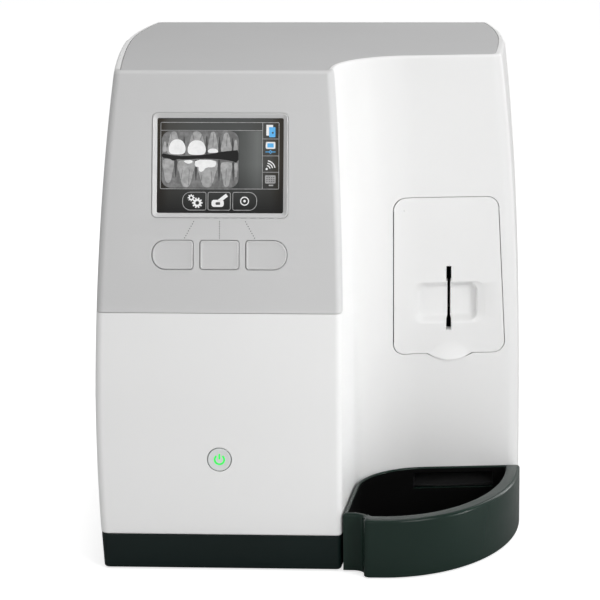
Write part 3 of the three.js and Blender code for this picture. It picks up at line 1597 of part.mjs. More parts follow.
function plateChute() {
  const [left, right] = [exit.left - exit.skirt + fit, exit.right + exit.skirt - fit];
  const mouth = facePlane(exit.right, baseTop);
  const slope = (chute.high - chute.low) / (chute.back - mouth);
  const rampAt = (y) => chute.low + fit + (y - mouth) * slope;
  const path = (points) => new THREE.Shape(points.map(([y, z]) => new THREE.Vector2(y, z)));
  const [start, back] = [chute.start, chute.back];
  const ramp = path([
    [start, rampAt(start)],
    [back, rampAt(back)],
    [back, rampAt(back) + chute.sheet],
    [start, rampAt(start) + chute.sheet],
  ]);
  const seat = floorSurface + fit;
  const side = path([
    [start, rampAt(start)],
    [chute.feet[0], rampAt(chute.feet[0])],
    [chute.feet[0], seat],
    [chute.feet[1], seat],
    [chute.feet[1], rampAt(chute.feet[1])],
    [back, rampAt(back)],
    [back, rampAt(back) + chute.side],
    [start, rampAt(start) + chute.side],
  ]);
  const inside = loft([0, height].map((z) => ({ z, points: bodyOutline(baseTop, even(fit)) })));
  const shape = join(
    extrude(ramp, "x", [left, right]),
    extrude(side, "x", [left, left + chute.wall]),
    extrude(side, "x", [right - chute.wall, right]),
  );
  const aboveMouth = box([left, right], [0, bodyDepth], [chute.low + fit, height]);
  const rear = box([left, right], [chute.feet[0], bodyDepth], [0, height]);
  return common(shape, inside, join(aboveMouth, rear));
}
add("plate_chute", plateChute(), guideGrey);

export default scanner;
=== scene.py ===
"""Desktop phosphor plate scanner: fine shells, screen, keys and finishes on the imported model."""

import json
import math
from collections import namedtuple

import bmesh
import bpy
from bpy.props import FloatProperty, FloatVectorProperty, PointerProperty
from mathutils import Matrix, Vector


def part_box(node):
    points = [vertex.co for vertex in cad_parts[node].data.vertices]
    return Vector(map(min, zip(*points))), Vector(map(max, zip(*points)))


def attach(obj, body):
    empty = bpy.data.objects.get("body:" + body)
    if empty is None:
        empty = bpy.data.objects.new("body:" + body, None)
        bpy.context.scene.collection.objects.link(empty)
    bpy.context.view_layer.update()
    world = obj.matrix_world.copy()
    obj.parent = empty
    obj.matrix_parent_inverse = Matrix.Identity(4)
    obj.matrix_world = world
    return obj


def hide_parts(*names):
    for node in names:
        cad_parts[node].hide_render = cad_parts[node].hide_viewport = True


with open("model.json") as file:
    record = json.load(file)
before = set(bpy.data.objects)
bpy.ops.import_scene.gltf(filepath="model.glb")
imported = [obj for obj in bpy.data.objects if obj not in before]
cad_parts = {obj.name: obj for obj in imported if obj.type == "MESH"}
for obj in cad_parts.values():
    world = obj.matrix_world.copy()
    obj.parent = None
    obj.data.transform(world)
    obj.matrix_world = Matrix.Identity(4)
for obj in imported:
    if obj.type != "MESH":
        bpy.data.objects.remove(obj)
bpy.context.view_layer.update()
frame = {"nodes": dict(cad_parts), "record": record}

bl_info = {
    "name": "Plate Scanner",
    "version": (1, 0, 0),
    "blender": (4, 5, 0),
    "location": "3D View > Sidebar > Scanner",
    "description": "Builds the fine shells, the screen, the keys and the finishes of a desktop plate scanner",
    "category": "Add Mesh",
}

MM = 0.001

# Sizes of the body, in metres and counted from the front of the left column
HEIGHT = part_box("front_housing")[1][2]
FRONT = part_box("front_housing")[0][1]
WIDTH = 0.382
BODY_DEPTH = 0.370
SEAM_DEPTH = 0.245
FOOT_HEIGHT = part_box("base")[0][2]
UNDERSIDE = FOOT_HEIGHT / 2
BASE_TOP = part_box("front_housing")[0][2]
PANEL_BOTTOM = 0.2285
WALL = 0.003
PLAY = 0.0003
SEAM_GAP = 0.0006
OVERRUN = 0.012
REAR_STEP = 0.0008
SIDE_TAPER = 0.0165
SIDE_CURVE = 3
TUCK = 0.0048
TUCK_TOP = 0.160
BOW_FRONT = 0.0125
BOW_REAR = 0.015
BOW_CURVE = 1.5
BOW_START = 1.2
LEAN_START = 0.152
LEAN = 0.057
LEAN_CURVE = 1.5
COLUMN_RIGHT = 0.0346
COLUMN_TAPER = 0.0092
COLUMN_CURVE = 2.5
FACE_DEPTH = 0.139
WALL_SLANT = 0.08
FACE_SLANT = 0.11
COVE_RADIUS = 0.070
OUTER_CORNER = 0.007
COLUMN_CORNER = 0.006
FACE_CORNER = 0.011
BACK_CORNER = 0.006
LEAST_CORNER_SHARE = 0.12

Inset = namedtuple("Inset", "side front cove back")
OUTER_STEPS = 7
COVE_STEPS = 28
FACE_STEPS = 9
BACK_STEPS = 5
BOW_STEPS = 12
INTO_SCENE = Matrix.Translation((0, FRONT, 0))
SIDES = (-1, 0, 1)
SQUARE = ((-1, -1), (1, -1), (1, 1), (-1, 1))


def length(name, description, default, **limits):
    """A length that a user may change."""
    return FloatProperty(name=name, description=description, default=default, unit="LENGTH", **limits)


def colour(name, description, default):
    """A colour that a user may change."""
    return FloatVectorProperty(name=name, description=description, subtype="COLOR", default=default,
                               min=0, max=1)


class ScannerSizes(bpy.types.PropertyGroup):
    door_gap: length("Door gap", "Gap all round the access door", 0.0006, min=0.0004, max=0.0009)
    panel_gap: length("Panel gap", "Gap between the grey panel and the white shell", 0.0005)
    edge_round: length("Edge rounding", "Rounding of the upper edges of the lid and the base", 0.0008,
                       min=0.0001, max=0.0015)
    key_hollow: length("Key hollow", "Depth of the hollow in each key", 0.0005)
    slot_bevel: length("Slot bevel", "Bevel along the plate slot", 0.0007)
    grain_depth: length("Grain depth", "Depth of the fine moulded grain", 0.00002)


class ScannerColours(bpy.types.PropertyGroup):
    shell: colour("Shell", "White plastic of the housing and the door", (0.90, 0.90, 0.896))
    panel: colour("Panel", "Grey paint of the control panel", (0.64, 0.64, 0.64))
    lid: colour("Lid", "Grey plastic of the top cover", (0.535, 0.535, 0.538))
    base: colour("Base", "Dark green plastic of the base", (0.004, 0.0115, 0.0105))
    tray: colour("Tray", "Dark green plastic of the catch tray", (0.013, 0.026, 0.0205))
    screen: colour("Screen", "Grey of the lit screen at its middle", (0.075, 0.079, 0.077))
    glow: colour("Glow", "Lines and signs on the screen", (0.80, 0.80, 0.80))
    accent: colour("Accent", "Blue signs on the screen", (0.10, 0.42, 0.78))
    symbol: colour("Symbol", "Lit symbol on the power button", (0.03, 0.68, 0.09))


# Form of the body


def even(inset):
    """The same inset on every side of the body."""
    return Inset(inset, inset, inset, inset)


def grown(inset, by):
    """An inset made larger on every side."""
    return Inset(*(value + by for value in inset))


def half_width(z):
    """Half the width across the seam at a height."""
    return WIDTH / 2 - SIDE_TAPER * (z / HEIGHT) ** SIDE_CURVE


def tuck(z):
    """How far the left side draws in towards its foot at a height."""
    return TUCK * max(0.0, 1 - z / TUCK_TOP) ** 2


def lean_share(z):
    """How far up the leaning stretch of the left column a height is."""
    return max(0.0, (z - LEAN_START) / (HEIGHT - LEAN_START))


def column_front(z):
    """Depth of the left column's front at a height."""
    return LEAN * lean_share(z) ** LEAN_CURVE


def column_tilt(z):
    """Lean of the left column's front at a height, in radians from the vertical."""
    return math.atan(LEAN / (HEIGHT - LEAN_START) * LEAN_CURVE * lean_share(z) ** (LEAN_CURVE - 1))


def column_right(z):
    """Right edge of the left column at a height."""
    return COLUMN_RIGHT - COLUMN_TAPER * lean_share(z) ** COLUMN_CURVE


def column_wall(y, z):
    """The left column's right wall as it runs back to the cove."""
    return column_right(z) + WALL_SLANT * (y - column_front(z))


def face_plane(x, z):
    """Front face of the right column, past the cove."""
    return FACE_DEPTH + FACE_SLANT * (x - column_wall(FACE_DEPTH, z))


def surface_at(x, z):
    """Depth of the outer surface between the columns and on the right column."""
    corner = Vector((column_wall(FACE_DEPTH, z), FACE_DEPTH))
    along_wall = Vector((-WALL_SLANT, -1)).normalized()
    along_face = Vector((1, FACE_SLANT)).normalized()
    half = math.acos(along_wall.dot(along_face)) / 2
    centre = corner + (along_wall + along_face).normalized() * (COVE_RADIUS / math.sin(half))
    end = corner + along_face * (COVE_RADIUS / math.tan(half))
    if x > end.x:
        return face_plane(x, z)
    return centre.y + math.sqrt(COVE_RADIUS ** 2 - (x - centre.x) ** 2)


def side_at(y, z, inset):
    """Half the width of the body at a depth and a height."""
    if y < SEAM_DEPTH:
        share = (SEAM_DEPTH - y) / (SEAM_DEPTH - column_front(z))
        return half_width(z) - inset.side - BOW_FRONT * share ** BOW_CURVE
    share = (y - SEAM_DEPTH) / (BODY_DEPTH - SEAM_DEPTH)
    inward = inset.side + (inset.back - inset.side) * share
    return half_width(z) - inward - BOW_REAR * share * share


def rounded_outline(corners):
    """A closed outline whose corners (x, y, radius, steps) are rounded."""
    points = []
    for index, (x, y, radius, steps) in enumerate(corners):
        at = Vector((x, y))
        if not radius:
            points.append(at)
            continue
        before = (Vector(corners[index - 1][:2]) - at).normalized()
        after = (Vector(corners[(index + 1) % len(corners)][:2]) - at).normalized()
        half = math.acos(max(-1.0, min(1.0, before.dot(after)))) / 2
        centre = at + (before + after).normalized() * (radius / math.sin(half))
        reach = radius / math.tan(half)
        start = at + before * reach - centre
        end = at + after * reach - centre
        sweep = math.pi - 2 * half
        for step in range(steps + 1):
            share = step / steps
            arc = start * (math.sin((1 - share) * sweep) / math.sin(sweep))
            points.append(centre + arc + end * (math.sin(share * sweep) / math.sin(sweep)))
    return points


def body_outline(z, inset):
    """Plan of the body at a height, drawn in by the insets, counterclockwise from the front left corner."""
    front = column_front(z) + inset.front
    back = BODY_DEPTH - inset.back
    shift = -inset.cove * (1 - WALL_SLANT) / (1 - WALL_SLANT * FACE_SLANT)
    cove_x = column_wall(FACE_DEPTH, z) + shift
    cove_y = FACE_DEPTH + inset.cove + FACE_SLANT * shift
    face_left = face_plane(side_at(FACE_DEPTH, z, inset), z) + inset.cove
    face_right = side_at(face_left, z, inset)

    def rounding(radius, by):
        return max(radius - by, radius * LEAST_CORNER_SHARE)

    def bow(start, end):
        return [start + (end - start) * (step / (BOW_STEPS + 1)) for step in range(1, BOW_STEPS + 1)]

    def right_side(depths):
        return [(side_at(y, z, inset), y, 0, 0) for y in depths]

    def left_side(depths):
        return [(tuck(z) - side_at(y, z, inset), y, 0, 0) for y in depths]

    rear = bow(SEAM_DEPTH, back - BACK_CORNER * BOW_START)
    corners = [
        (tuck(z) - side_at(front, z, inset), front, rounding(OUTER_CORNER, inset.side), OUTER_STEPS),
        (column_wall(front, z) - inset.cove, front, rounding(COLUMN_CORNER, inset.front), OUTER_STEPS),
        (cove_x, cove_y, COVE_RADIUS + inset.cove, COVE_STEPS),
        (face_right, face_plane(face_right, z) + inset.cove, rounding(FACE_CORNER, inset.cove), FACE_STEPS),
    ]
    corners += right_side(bow(face_left + FACE_CORNER * BOW_START, SEAM_DEPTH) + [SEAM_DEPTH] + rear)
    back_x, back_corner = side_at(back, z, inset), (back, rounding(BACK_CORNER, inset.back), BACK_STEPS)
    corners += [(back_x, *back_corner), (tuck(z) - back_x, *back_corner)]
    corners += left_side(rear[::-1] + [SEAM_DEPTH] + bow(SEAM_DEPTH, front + OUTER_CORNER * BOW_START))
    return rounded_outline(corners)


# Mesh tools

FULL_TURN = math.tau - 0.001
MITRE_LIMIT = 0.5
SHARP_ANGLE = 32
SOFT_ANGLE = 50
PRINT_STEP = 0.00005

# A plan drawn in X and Z, whose rings are stacked by minus their depth
UPRIGHT = Matrix.Rotation(math.pi / 2, 4, "X")


def new_object(name, data):
    """An object for a mesh, a lamp or a camera, in the scene's collection."""
    thing = bpy.data.objects.new(name, data)
    bpy.context.scene.collection.objects.link(thing)
    return thing


def loft(name, rings, placement=INTO_SCENE, hoop=False):
    """A closed mesh through rings (z, points) of as many points each; a hoop's last ring joins its first."""
    count = len(rings[0][1])
    verts = [(x, y, z) for z, points in rings for x, y in points]
    starts = range(0, len(verts), count)
    pairs = list(zip(starts, starts[1:])) + ([(starts[-1], 0)] if hoop else [])
    faces = [
        (low + step, low + (step + 1) % count, high + (step + 1) % count, high + step)
        for low, high in pairs for step in range(count)
    ]
    if not hoop:
        faces += [tuple(reversed(range(count))), tuple(range(len(verts) - count, len(verts)))]
    mesh = bpy.data.meshes.new(name)
    mesh.from_pydata(verts, [], faces)
    mesh.transform(placement)
    mesh.update()
    return new_object(name, mesh)


def prism(name, plan, depths, placement=INTO_SCENE):
    """A plan in X and Z drawn out between two depths."""
    return loft(name, [(-depths[1], plan), (-depths[0], plan)], placement @ UPRIGHT)


def block(name, x, y, z, placement=INTO_SCENE):
    """A block between two values on each axis."""
    plan = [(x[0], y[0]), (x[1], y[0]), (x[1], y[1]), (x[0], y[1])]
    return loft(name, [(z[0], plan), (z[1], plan)], placement)


def ring_of(x, y, radius, sides, start=0.0, end=math.tau):
    """Points round a circle or an arc."""
    count = sides if end - start > FULL_TURN else sides + 1
    angles = [start + (end - start) * index / sides for index in range(count)]
    return [Vector((x + radius * math.cos(angle), y + radius * math.sin(angle))) for angle in angles]


def bar(name, start, end, radius, sides=32):
    """A round bar between two points."""
    run = end - start
    turn = run.to_track_quat("Z", "Y").to_matrix().to_4x4()
    plan = ring_of(0, 0, radius, sides)
    return loft(name, [(0, plan), (run.length, plan)], INTO_SCENE @ Matrix.Translation(start) @ turn)


def rounded_rectangle(x, y, wide, tall, radius, steps=6):
    """A rectangle with rounded corners about a middle, counterclockwise."""
    return rounded_outline([(x + i * wide / 2, y + j * tall / 2, radius, steps) for i, j in SQUARE])


def from_bmesh(name, build, placement):
    """An object from a bmesh, with its faces pointing out."""
    bmesh.ops.recalc_face_normals(build, faces=build.faces)
    mesh = bpy.data.meshes.new(name)
    build.to_mesh(mesh)
    build.free()
    mesh.transform(placement)
    return new_object(name, mesh)


def strip(points, width, closed=False):
    """Pairs of points on both sides of a line."""
    pairs = []
    for index, at in enumerate(points):
        before = points[index - 1] if closed or index else at
        after = points[(index + 1) % len(points)] if closed or index + 1 < len(points) else at
        incoming, outgoing = (at - before).normalized(), (after - at).normalized()
        along = (incoming + outgoing).normalized()
        across = Vector((-along.y, along.x))
        straight = incoming if incoming.length else outgoing
        stretch = max(MITRE_LIMIT, along.dot(straight))
        pairs.append((at + across * (width / 2 / stretch), at - across * (width / 2 / stretch)))
    return pairs


def print_layer(name, fills, lines, placement, depth, thickness=PRINT_STEP):
    """Thin print: filled outlines, and lines (points, width, closed), in X and Z at a depth."""
    build = bmesh.new()

    def both(point):
        return [build.verts.new((point[0], y, point[1])) for y in (depth - thickness, depth)]

    for outline in fills:
        front, back = zip(*(both(point) for point in outline))
        build.faces.new(front)
        build.faces.new(back[::-1])
        for index in range(len(front)):
            build.faces.new((front[index - 1], back[index - 1], back[index], front[index]))
    for points, width, closed in lines:
        rows = [both(left) + both(right) for left, right in strip(points, width, closed)]
        links = list(zip(rows, rows[1:])) + ([(rows[-1], rows[0])] if closed else [])
        for (a, b, c, d), (e, f, g, h) in links:
            for face in ((a, e, g, c), (b, d, h, f), (a, b, f, e), (c, g, h, d)):
                build.faces.new(face)
        if not closed:
            for a, b, c, d in (rows[0], rows[-1]):
                build.faces.new((a, c, d, b))
    return from_bmesh(name, build, placement)


def relief(name, front, back, placement):
    """A closed slab between two grids of points that have the same rows and columns."""
    build = bmesh.new()
    grids = [[[build.verts.new(point) for point in row] for row in grid] for grid in (front, back)]
    rows, columns = len(front), len(front[0])
    for grid in grids:
        for low, high in zip(grid, grid[1:]):
            for index in range(columns - 1):
                build.faces.new((low[index], low[index + 1], high[index + 1], high[index]))
    rim = [(0, column) for column in range(columns)] + [(row, columns - 1) for row in range(1, rows)]
    rim += [(rows - 1, column) for column in range(columns - 2, -1, -1)]
    rim += [(row, 0) for row in range(rows - 2, 0, -1)]
    for (row, column), (next_row, next_column) in zip(rim, rim[1:] + rim[:1]):
        corners = [grids[0][row][column], grids[0][next_row][next_column]]
        corners += [grids[1][next_row][next_column], grids[1][row][column]]
        build.faces.new(corners)
    return from_bmesh(name, build, placement)


def combine(operation, thing, *others):
    """Cuts, joins or intersects an object with others, which are used up."""
    for other in others:
        modifier = thing.modifiers.new("combine", "BOOLEAN")
        modifier.operation = operation
        modifier.solver = "MANIFOLD"
        modifier.object = other
        mesh = bpy.data.meshes.new_from_object(thing.evaluated_get(bpy.context.evaluated_depsgraph_get()))
        thing.modifiers.clear()
        old, thing.data = thing.data, mesh
        bpy.data.meshes.remove(old)
        bpy.data.objects.remove(other)
    return thing


def cut(thing, *others):
    """Cuts others out of an object."""
    return combine("DIFFERENCE", thing, *others)


def join(thing, *others):
    """Joins others to an object."""
    return combine("UNION", thing, *others)


def common(thing, *others):
    """Keeps what an object shares with each of the others."""
    return combine("INTERSECT", thing, *others)


def edge_round(z, radius, insets, sign, steps):
    """Heights and insets of a rounded edge, from its straight end to its rim."""
    angles = [step / steps * math.pi / 2 for step in range(steps + 1)]
    return [
        (z - sign * radius * (1 - math.sin(angle)),
         Inset(*(value * (1 - math.cos(angle)) for value in insets)))
        for angle in angles
    ]


def finish(thing, body, slot, *nodes, look=None, sharp=SHARP_ANGLE):
    """Shades a piece, gives it the material of its slot, and rides it on its body in place of CAD nodes."""
    if sharp:
        thing.data.shade_smooth()
        thing.data.set_sharp_from_angle(angle=math.radians(sharp))
    thing.data.materials.clear()
    thing.data.materials.append(finishes()[look or slot])
    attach(thing, body)
    if nodes:
        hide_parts(*nodes)


# Shader node groups

NODE_STEP = (200, -180)
PIT_SCALE = 0.7
PIT_SMOOTHNESS = 0.6
DUSTY_SLOPE = (0.35, 1.0)
WORN_POINTINESS = (0.52, 0.62)


def feed(tree, node, inputs):
    """Sets a node's inputs, or links them where a socket is given."""
    for key, value in inputs.items():
        if isinstance(value, bpy.types.NodeSocket):
            tree.links.new(value, node.inputs[key])
        else:
            node.inputs[key].default_value = value


def put(tree, kind, at, inputs=None, **settings):
    """A node at a place in a tree, with its settings and its inputs."""
    node = tree.nodes.new(kind)
    node.location = (at[0] * NODE_STEP[0], at[1] * NODE_STEP[1])
    for key, value in settings.items():
        setattr(node, key, value)
    feed(tree, node, inputs or {})
    return node


def reckon(tree, at, operation, *values, use_clamp=False):
    """The result of an operation on numbers or sockets."""
    inputs = dict(enumerate(values))
    return put(tree, "ShaderNodeMath", at, inputs, operation=operation, use_clamp=use_clamp).outputs[0]


def ranged(tree, at, value, start=(0.0, 1.0), end=(0.0, 1.0)):
    """A value brought from one range into another."""
    inputs = {"Value": value, "From Min": start[0], "From Max": start[1], "To Min": end[0], "To Max": end[1]}
    return put(tree, "ShaderNodeMapRange", at, inputs).outputs["Result"]


def blend(tree, at, mask, first, second):
    """A mix of two colours, or of a node's colour and a colour, by a mask."""
    return put(tree, "ShaderNodeMix", at, {"Factor": mask, 6: first, 7: second}, data_type="RGBA").outputs[2]


def new_group(name, inputs, outputs):
    """An empty shader node group with named float inputs and outputs, and a place on the object."""
    group = bpy.data.node_groups.new(name, "ShaderNodeTree")
    for label, value in inputs.items():
        socket = group.interface.new_socket(label, in_out="INPUT", socket_type="NodeSocketFloat")
        socket.default_value = value
    for label in outputs:
        group.interface.new_socket(label, in_out="OUTPUT", socket_type="NodeSocketFloat")
    given, result = put(group, "NodeGroupInput", (-4, 0)), put(group, "NodeGroupOutput", (5, 0))
    return group, given.outputs, result, put(group, "ShaderNodeTexCoord", (-4, 1)).outputs["Object"]


def noise_of(group, at, place, scale, detail, roughness):
    """A noise over the object."""
    inputs = {"Vector": place, "Scale": scale, "Detail": detail, "Roughness": roughness}
    return put(group, "ShaderNodeTexNoise", at, inputs).outputs["Fac"]


def grain_group():
    """Fine moulded grain: spark-eroded pits over a soft noise, as a height and a tone."""
    defaults = {"Scale": 1400.0, "Pits": 0.5}
    group, given, result, place = new_group("Moulded grain", defaults, ["Height", "Tone"])
    noise = noise_of(group, (-2, 0), place, given["Scale"], detail=3.0, roughness=0.6)
    scale = reckon(group, (-3, 1.5), "MULTIPLY", given["Scale"], PIT_SCALE)
    inputs = {"Vector": place, "Scale": scale, "Smoothness": PIT_SMOOTHNESS}
    pits = put(group, "ShaderNodeTexVoronoi", (-2, 1.5), inputs, feature="SMOOTH_F1")
    depth = reckon(group, (0, 1), "MULTIPLY", pits.outputs["Distance"], given["Pits"])
    feed(group, result, {"Height": reckon(group, (2, 0), "SUBTRACT", noise, depth), "Tone": noise})
    return group


def drift_group():
    """Slow drift of a colour over a surface, as a mask."""
    group, given, result, place = new_group("Colour drift", {"Scale": 9.0, "Contrast": 2.0}, ["Mask"])
    noise = noise_of(group, (-2, 0), place, given["Scale"], detail=2.0, roughness=0.5)
    centre = reckon(group, (0, 0), "SUBTRACT", noise, 0.5)
    spread = reckon(group, (1, 0), "MULTIPLY_ADD", centre, given["Contrast"], 0.5, use_clamp=True)
    feed(group, result, {"Mask": spread})
    return group


def broken_mask(group, given, result, value, limits, noise):
    """Puts out how far a value is between two limits, broken up by a noise, times an amount."""
    broken = reckon(group, (0, 0), "MULTIPLY", ranged(group, (-1, -1), value, limits), noise)
    feed(group, result, {"Mask": reckon(group, (1, 0), "MULTIPLY", broken, given["Amount"], use_clamp=True)})
    return group


def dust_group():
    """Fine dust that settles on what faces up, as a mask."""
    group, given, result, place = new_group("Settled dust", {"Amount": 0.2, "Scale": 160.0}, ["Mask"])
    noise = noise_of(group, (-2, 1), place, given["Scale"], detail=4.0, roughness=0.7)
    facing = put(group, "ShaderNodeNewGeometry", (-3, -1)).outputs["Normal"]
    parts = put(group, "ShaderNodeSeparateXYZ", (-2, -1), {0: facing})
    return broken_mask(group, given, result, parts.outputs["Z"], DUSTY_SLOPE, noise)


def wear_group():
    """Rubbed edges, as a mask: convex edges broken up by a noise."""
    group, given, result, place = new_group("Edge wear", {"Amount": 0.4, "Scale": 220.0}, ["Mask"])
    noise = noise_of(group, (-2, 1), place, given["Scale"], detail=5.0, roughness=0.65)
    curve = put(group, "ShaderNodeNewGeometry", (-3, -1)).outputs["Pointiness"]
    return broken_mask(group, given, result, curve, WORN_POINTINESS, noise)


GROUPS = {
    "Moulded grain": grain_group,
    "Colour drift": drift_group,
    "Settled dust": dust_group,
    "Edge wear": wear_group,
}


def placed_group(tree, name, at, **values):
    """The outputs of a node group placed in a material; the group is made once for all of them."""
    group = bpy.data.node_groups.get(name) or GROUPS[name]()
    node = put(tree, "ShaderNodeGroup", at, node_tree=group)
    feed(tree, node, values)
    return node.outputs


# Materials

WHITE = (1, 1, 1, 1)
DUST_TINT = (0.62, 0.61, 0.58, 1.0)
WORN_SHARE = 1.35
POLISH_SPREAD = 0.05
GLOW_DRIFT = 0.04
GLOW_SCALE = 260.0
GLOW_ROUGHNESS = 0.35
SCREEN_FALL = (0.3125, 0.3520)
SCREEN_SHADES = (0.06, 0.75)
SCREEN_DRIFT = (0.9, 1.08)
SCREEN_SHEEN = {"Emission Strength": 0.25, "Roughness": 0.16, "Specular IOR Level": 0.3}

# Name, tint or name of a user's colour, roughness, and what else differs
MOULDED = {
    "shell_white": ("White shell", "shell", 0.42, dict(dust=0.05, wear=0.1, drift=0.008, specular=0.4)),
    "panel_grey": ("Grey panel paint", "panel", 0.38, dict(scale=2200.0, dust=0.05, wear=0.25, drift=0.012)),
    "lid_grey": ("Grey lid", "lid", 0.5, dict(scale=1100.0, dust=0.08, drift=0.015)),
    "base_green": ("Dark green base", "base", 0.36, dict(dust=0.02, drift=0.1, wear=0.3, specular=0.35)),
    "tray_green": ("Dark green tray", "tray", 0.24,
                   dict(dust=0.0, drift=0.08, specular=0.25, pits=0.2, wear=0.3, depth=0.000006)),
    # Near-black matte sheet in the tray's hollow: painted shade, not a part of the tray
    "tray_pad": ("Black pad", (0.004, 0.004, 0.004), 0.85,
                 dict(scale=900.0, dust=0.0, wear=0.0, specular=0.05)),
    "black_plastic": ("Black plastic", (0.018, 0.018, 0.019), 0.42, dict(drift=0.1, dust=0.04)),
    "rubber": ("Grey rubber", (0.028, 0.028, 0.029), 0.8, dict(scale=700.0, drift=0.15, dust=0.3, wear=0.0)),
    "steel": ("Bright steel", (0.60, 0.61, 0.63), 0.33,
              dict(metallic=0.95, scale=900.0, pits=0.1, dust=0.03)),
    "dark_steel": ("Coated steel", (0.19, 0.195, 0.20), 0.42, dict(metallic=0.75, scale=900.0, dust=0.05)),
    "board_green": ("Circuit board", (0.02, 0.13, 0.06), 0.45, dict(scale=320.0, pits=0.8, drift=0.25)),
    "clear_white": ("Pale cap", (0.76, 0.79, 0.78), 0.3,
                    dict(drift=0.01, dust=0.02, depth=0.000005, wear=0.1)),
    # guide_grey is painted shade: near black, darker than the guides' own grey, so the chute behind the exit
    # mouth reads as a dark recess
    "guide_grey": ("Dark guide plastic", (0.012, 0.0125, 0.013), 0.5,
                   dict(drift=0.05, dust=0.03, specular=0.3)),
    "print_grey": ("Printed dots", (0.015, 0.015, 0.015), 0.5, dict(drift=0.05, dust=0.0, wear=0.0)),
}

# Name, tint or name of a user's colour, share of it, strength of its light, and contrast
LIT = {
    "screen_black": ("Screen black", (0.004, 0.004, 0.004), 1, 0.0, 1.5),
    "screen_dark": ("Screen dark grey", "glow", 0.07, 0.2, 1.5),
    "screen_mid": ("Screen middle grey", "glow", 0.22, 0.2, 3.5),
    "screen_soft": ("Screen soft grey", "glow", 0.45, 0.2, 3.0),
    "screen_white": ("Screen white", "glow", 1, 0.22, 1.5),
    "screen_blue": ("Screen blue", "accent", 1, 0.25, 1.5),
    "symbol_green": ("Lit green", "symbol", 1, 0.75, 1.5),
}

# Name, left and right end, and bands (place, share of the screen's grey, warmth)
SCREENS = {
    "screen_glass": ("Lit screen", (-0.1242, -0.0158), (
        (0.0, 0.30, 0.25), (1.0, 0.30, 0.22), (0.035, 0.42, 0.22), (0.09, 0.85, 0.06), (0.3, 1.05, 0.0),
        (0.72, 1.1, 0.0), (0.9, 0.9, 0.05), (0.96, 0.5, 0.2))),
    "screen_side": ("Lit side field", (-0.0538, -0.0342), (
        (0.0, 1.2, 0.0), (1.0, 2.1, 0.0), (0.3, 1.5, 0.0), (0.8, 2.3, 0.0))),
}


def shades(tint, share):
    """A colour with its full alpha, made lighter or darker by a share."""
    return tuple(min(1.0, channel * share) for channel in tint) + (1.0,)


def new_material(name):
    """A new material with its node tree and its shader."""
    made = bpy.data.materials.new(name)
    made.use_nodes = True
    return made, made.node_tree, made.node_tree.nodes["Principled BSDF"]


def once(make):
    """Lets a function make each named material a single time."""
    def made(name, *values, **settings):
        return bpy.data.materials.get(name) or make(name, *values, **settings)
    return made


@once
def moulded(name, tint, roughness, *, scale=1400.0, pits=0.5, depth=None, drift=0.03, dust=0.1, wear=0.2,
            specular=0.5, metallic=0.0):
    """A moulded, painted or cast surface: drifting colour, fine grain, dust and rubbed edges."""
    made, tree, shader = new_material(name)
    mask = placed_group(tree, "Colour drift", (-4, 0))["Mask"]
    colours = blend(tree, (-3, 0), mask, shades(tint, 1 - drift), shades(tint, 1 + drift))
    mask = placed_group(tree, "Edge wear", (-4, 1), Amount=wear)["Mask"]
    colours = blend(tree, (-2, 0), mask, colours, shades(tint, WORN_SHARE))
    mask = placed_group(tree, "Settled dust", (-4, 2), Amount=dust)["Mask"]
    colours = blend(tree, (-1, 0), mask, colours, DUST_TINT)
    grain = placed_group(tree, "Moulded grain", (-4, 3), Scale=scale, Pits=pits)
    polish = ranged(tree, (-2, 2), grain["Tone"], end=(roughness - POLISH_SPREAD, roughness + POLISH_SPREAD))
    distance = bpy.context.scene.scanner_sizes.grain_depth if depth is None else depth
    inputs = {"Strength": 1.0, "Distance": distance, "Height": grain["Height"]}
    bump = put(tree, "ShaderNodeBump", (-2, 3), inputs).outputs["Normal"]
    feed(tree, shader, {"Base Color": colours, "Roughness": polish, "Normal": bump,
                        "Specular IOR Level": specular, "Metallic": metallic})
    return made


@once
def glowing(name, tint, strength, contrast):
    """A lit print: a coloured surface that also gives off a little of its colour, slightly uneven."""
    made, tree, shader = new_material(name)
    spread = GLOW_DRIFT * contrast
    mask = placed_group(tree, "Colour drift", (-3, 0), Scale=GLOW_SCALE, Contrast=contrast)["Mask"]
    colours = blend(tree, (-2, 0), mask, shades(tint, 1 - spread * 2), shades(tint, 1 + spread))
    feed(tree, shader, {"Base Color": colours, "Emission Color": colours, "Emission Strength": strength,
                        "Roughness": GLOW_ROUGHNESS})
    return made


@once
def screen_face(name, tint, ends, shares):
    """A lit screen whose grey changes from side to side and darkens downwards, under a glossy coating."""
    made, tree, shader = new_material(name)
    place = put(tree, "ShaderNodeTexCoord", (-6, 0)).outputs["Object"]
    parts = put(tree, "ShaderNodeSeparateXYZ", (-5, 0), {0: place}).outputs
    ramp = put(tree, "ShaderNodeValToRGB", (-3, 0), {"Fac": ranged(tree, (-4, 0), parts["X"], ends)})
    bands = ramp.color_ramp.elements
    for index, (at, share, warmth) in enumerate(shares):
        band = bands[index] if index < 2 else bands.new(at)
        band.position = at
        band.color = (tint[0] * share, tint[1] * share * (1 - warmth), tint[2] * share * (1 - warmth * 2), 1)
    mask = placed_group(tree, "Colour drift", (-3, 2), Scale=30.0, Contrast=1.2)["Mask"]
    darker = ranged(tree, (-2, 2), mask, end=SCREEN_DRIFT)
    fall = ranged(tree, (-3, 1), parts["Z"], SCREEN_FALL, SCREEN_SHADES)
    inputs = {0: ramp.outputs["Color"], "Scale": reckon(tree, (-1, 2), "MULTIPLY", darker, fall)}
    scaled = put(tree, "ShaderNodeVectorMath", (-1, 0), inputs, operation="SCALE").outputs[0]
    feed(tree, shader, {"Base Color": scaled, "Emission Color": scaled, **SCREEN_SHEEN})
    return made


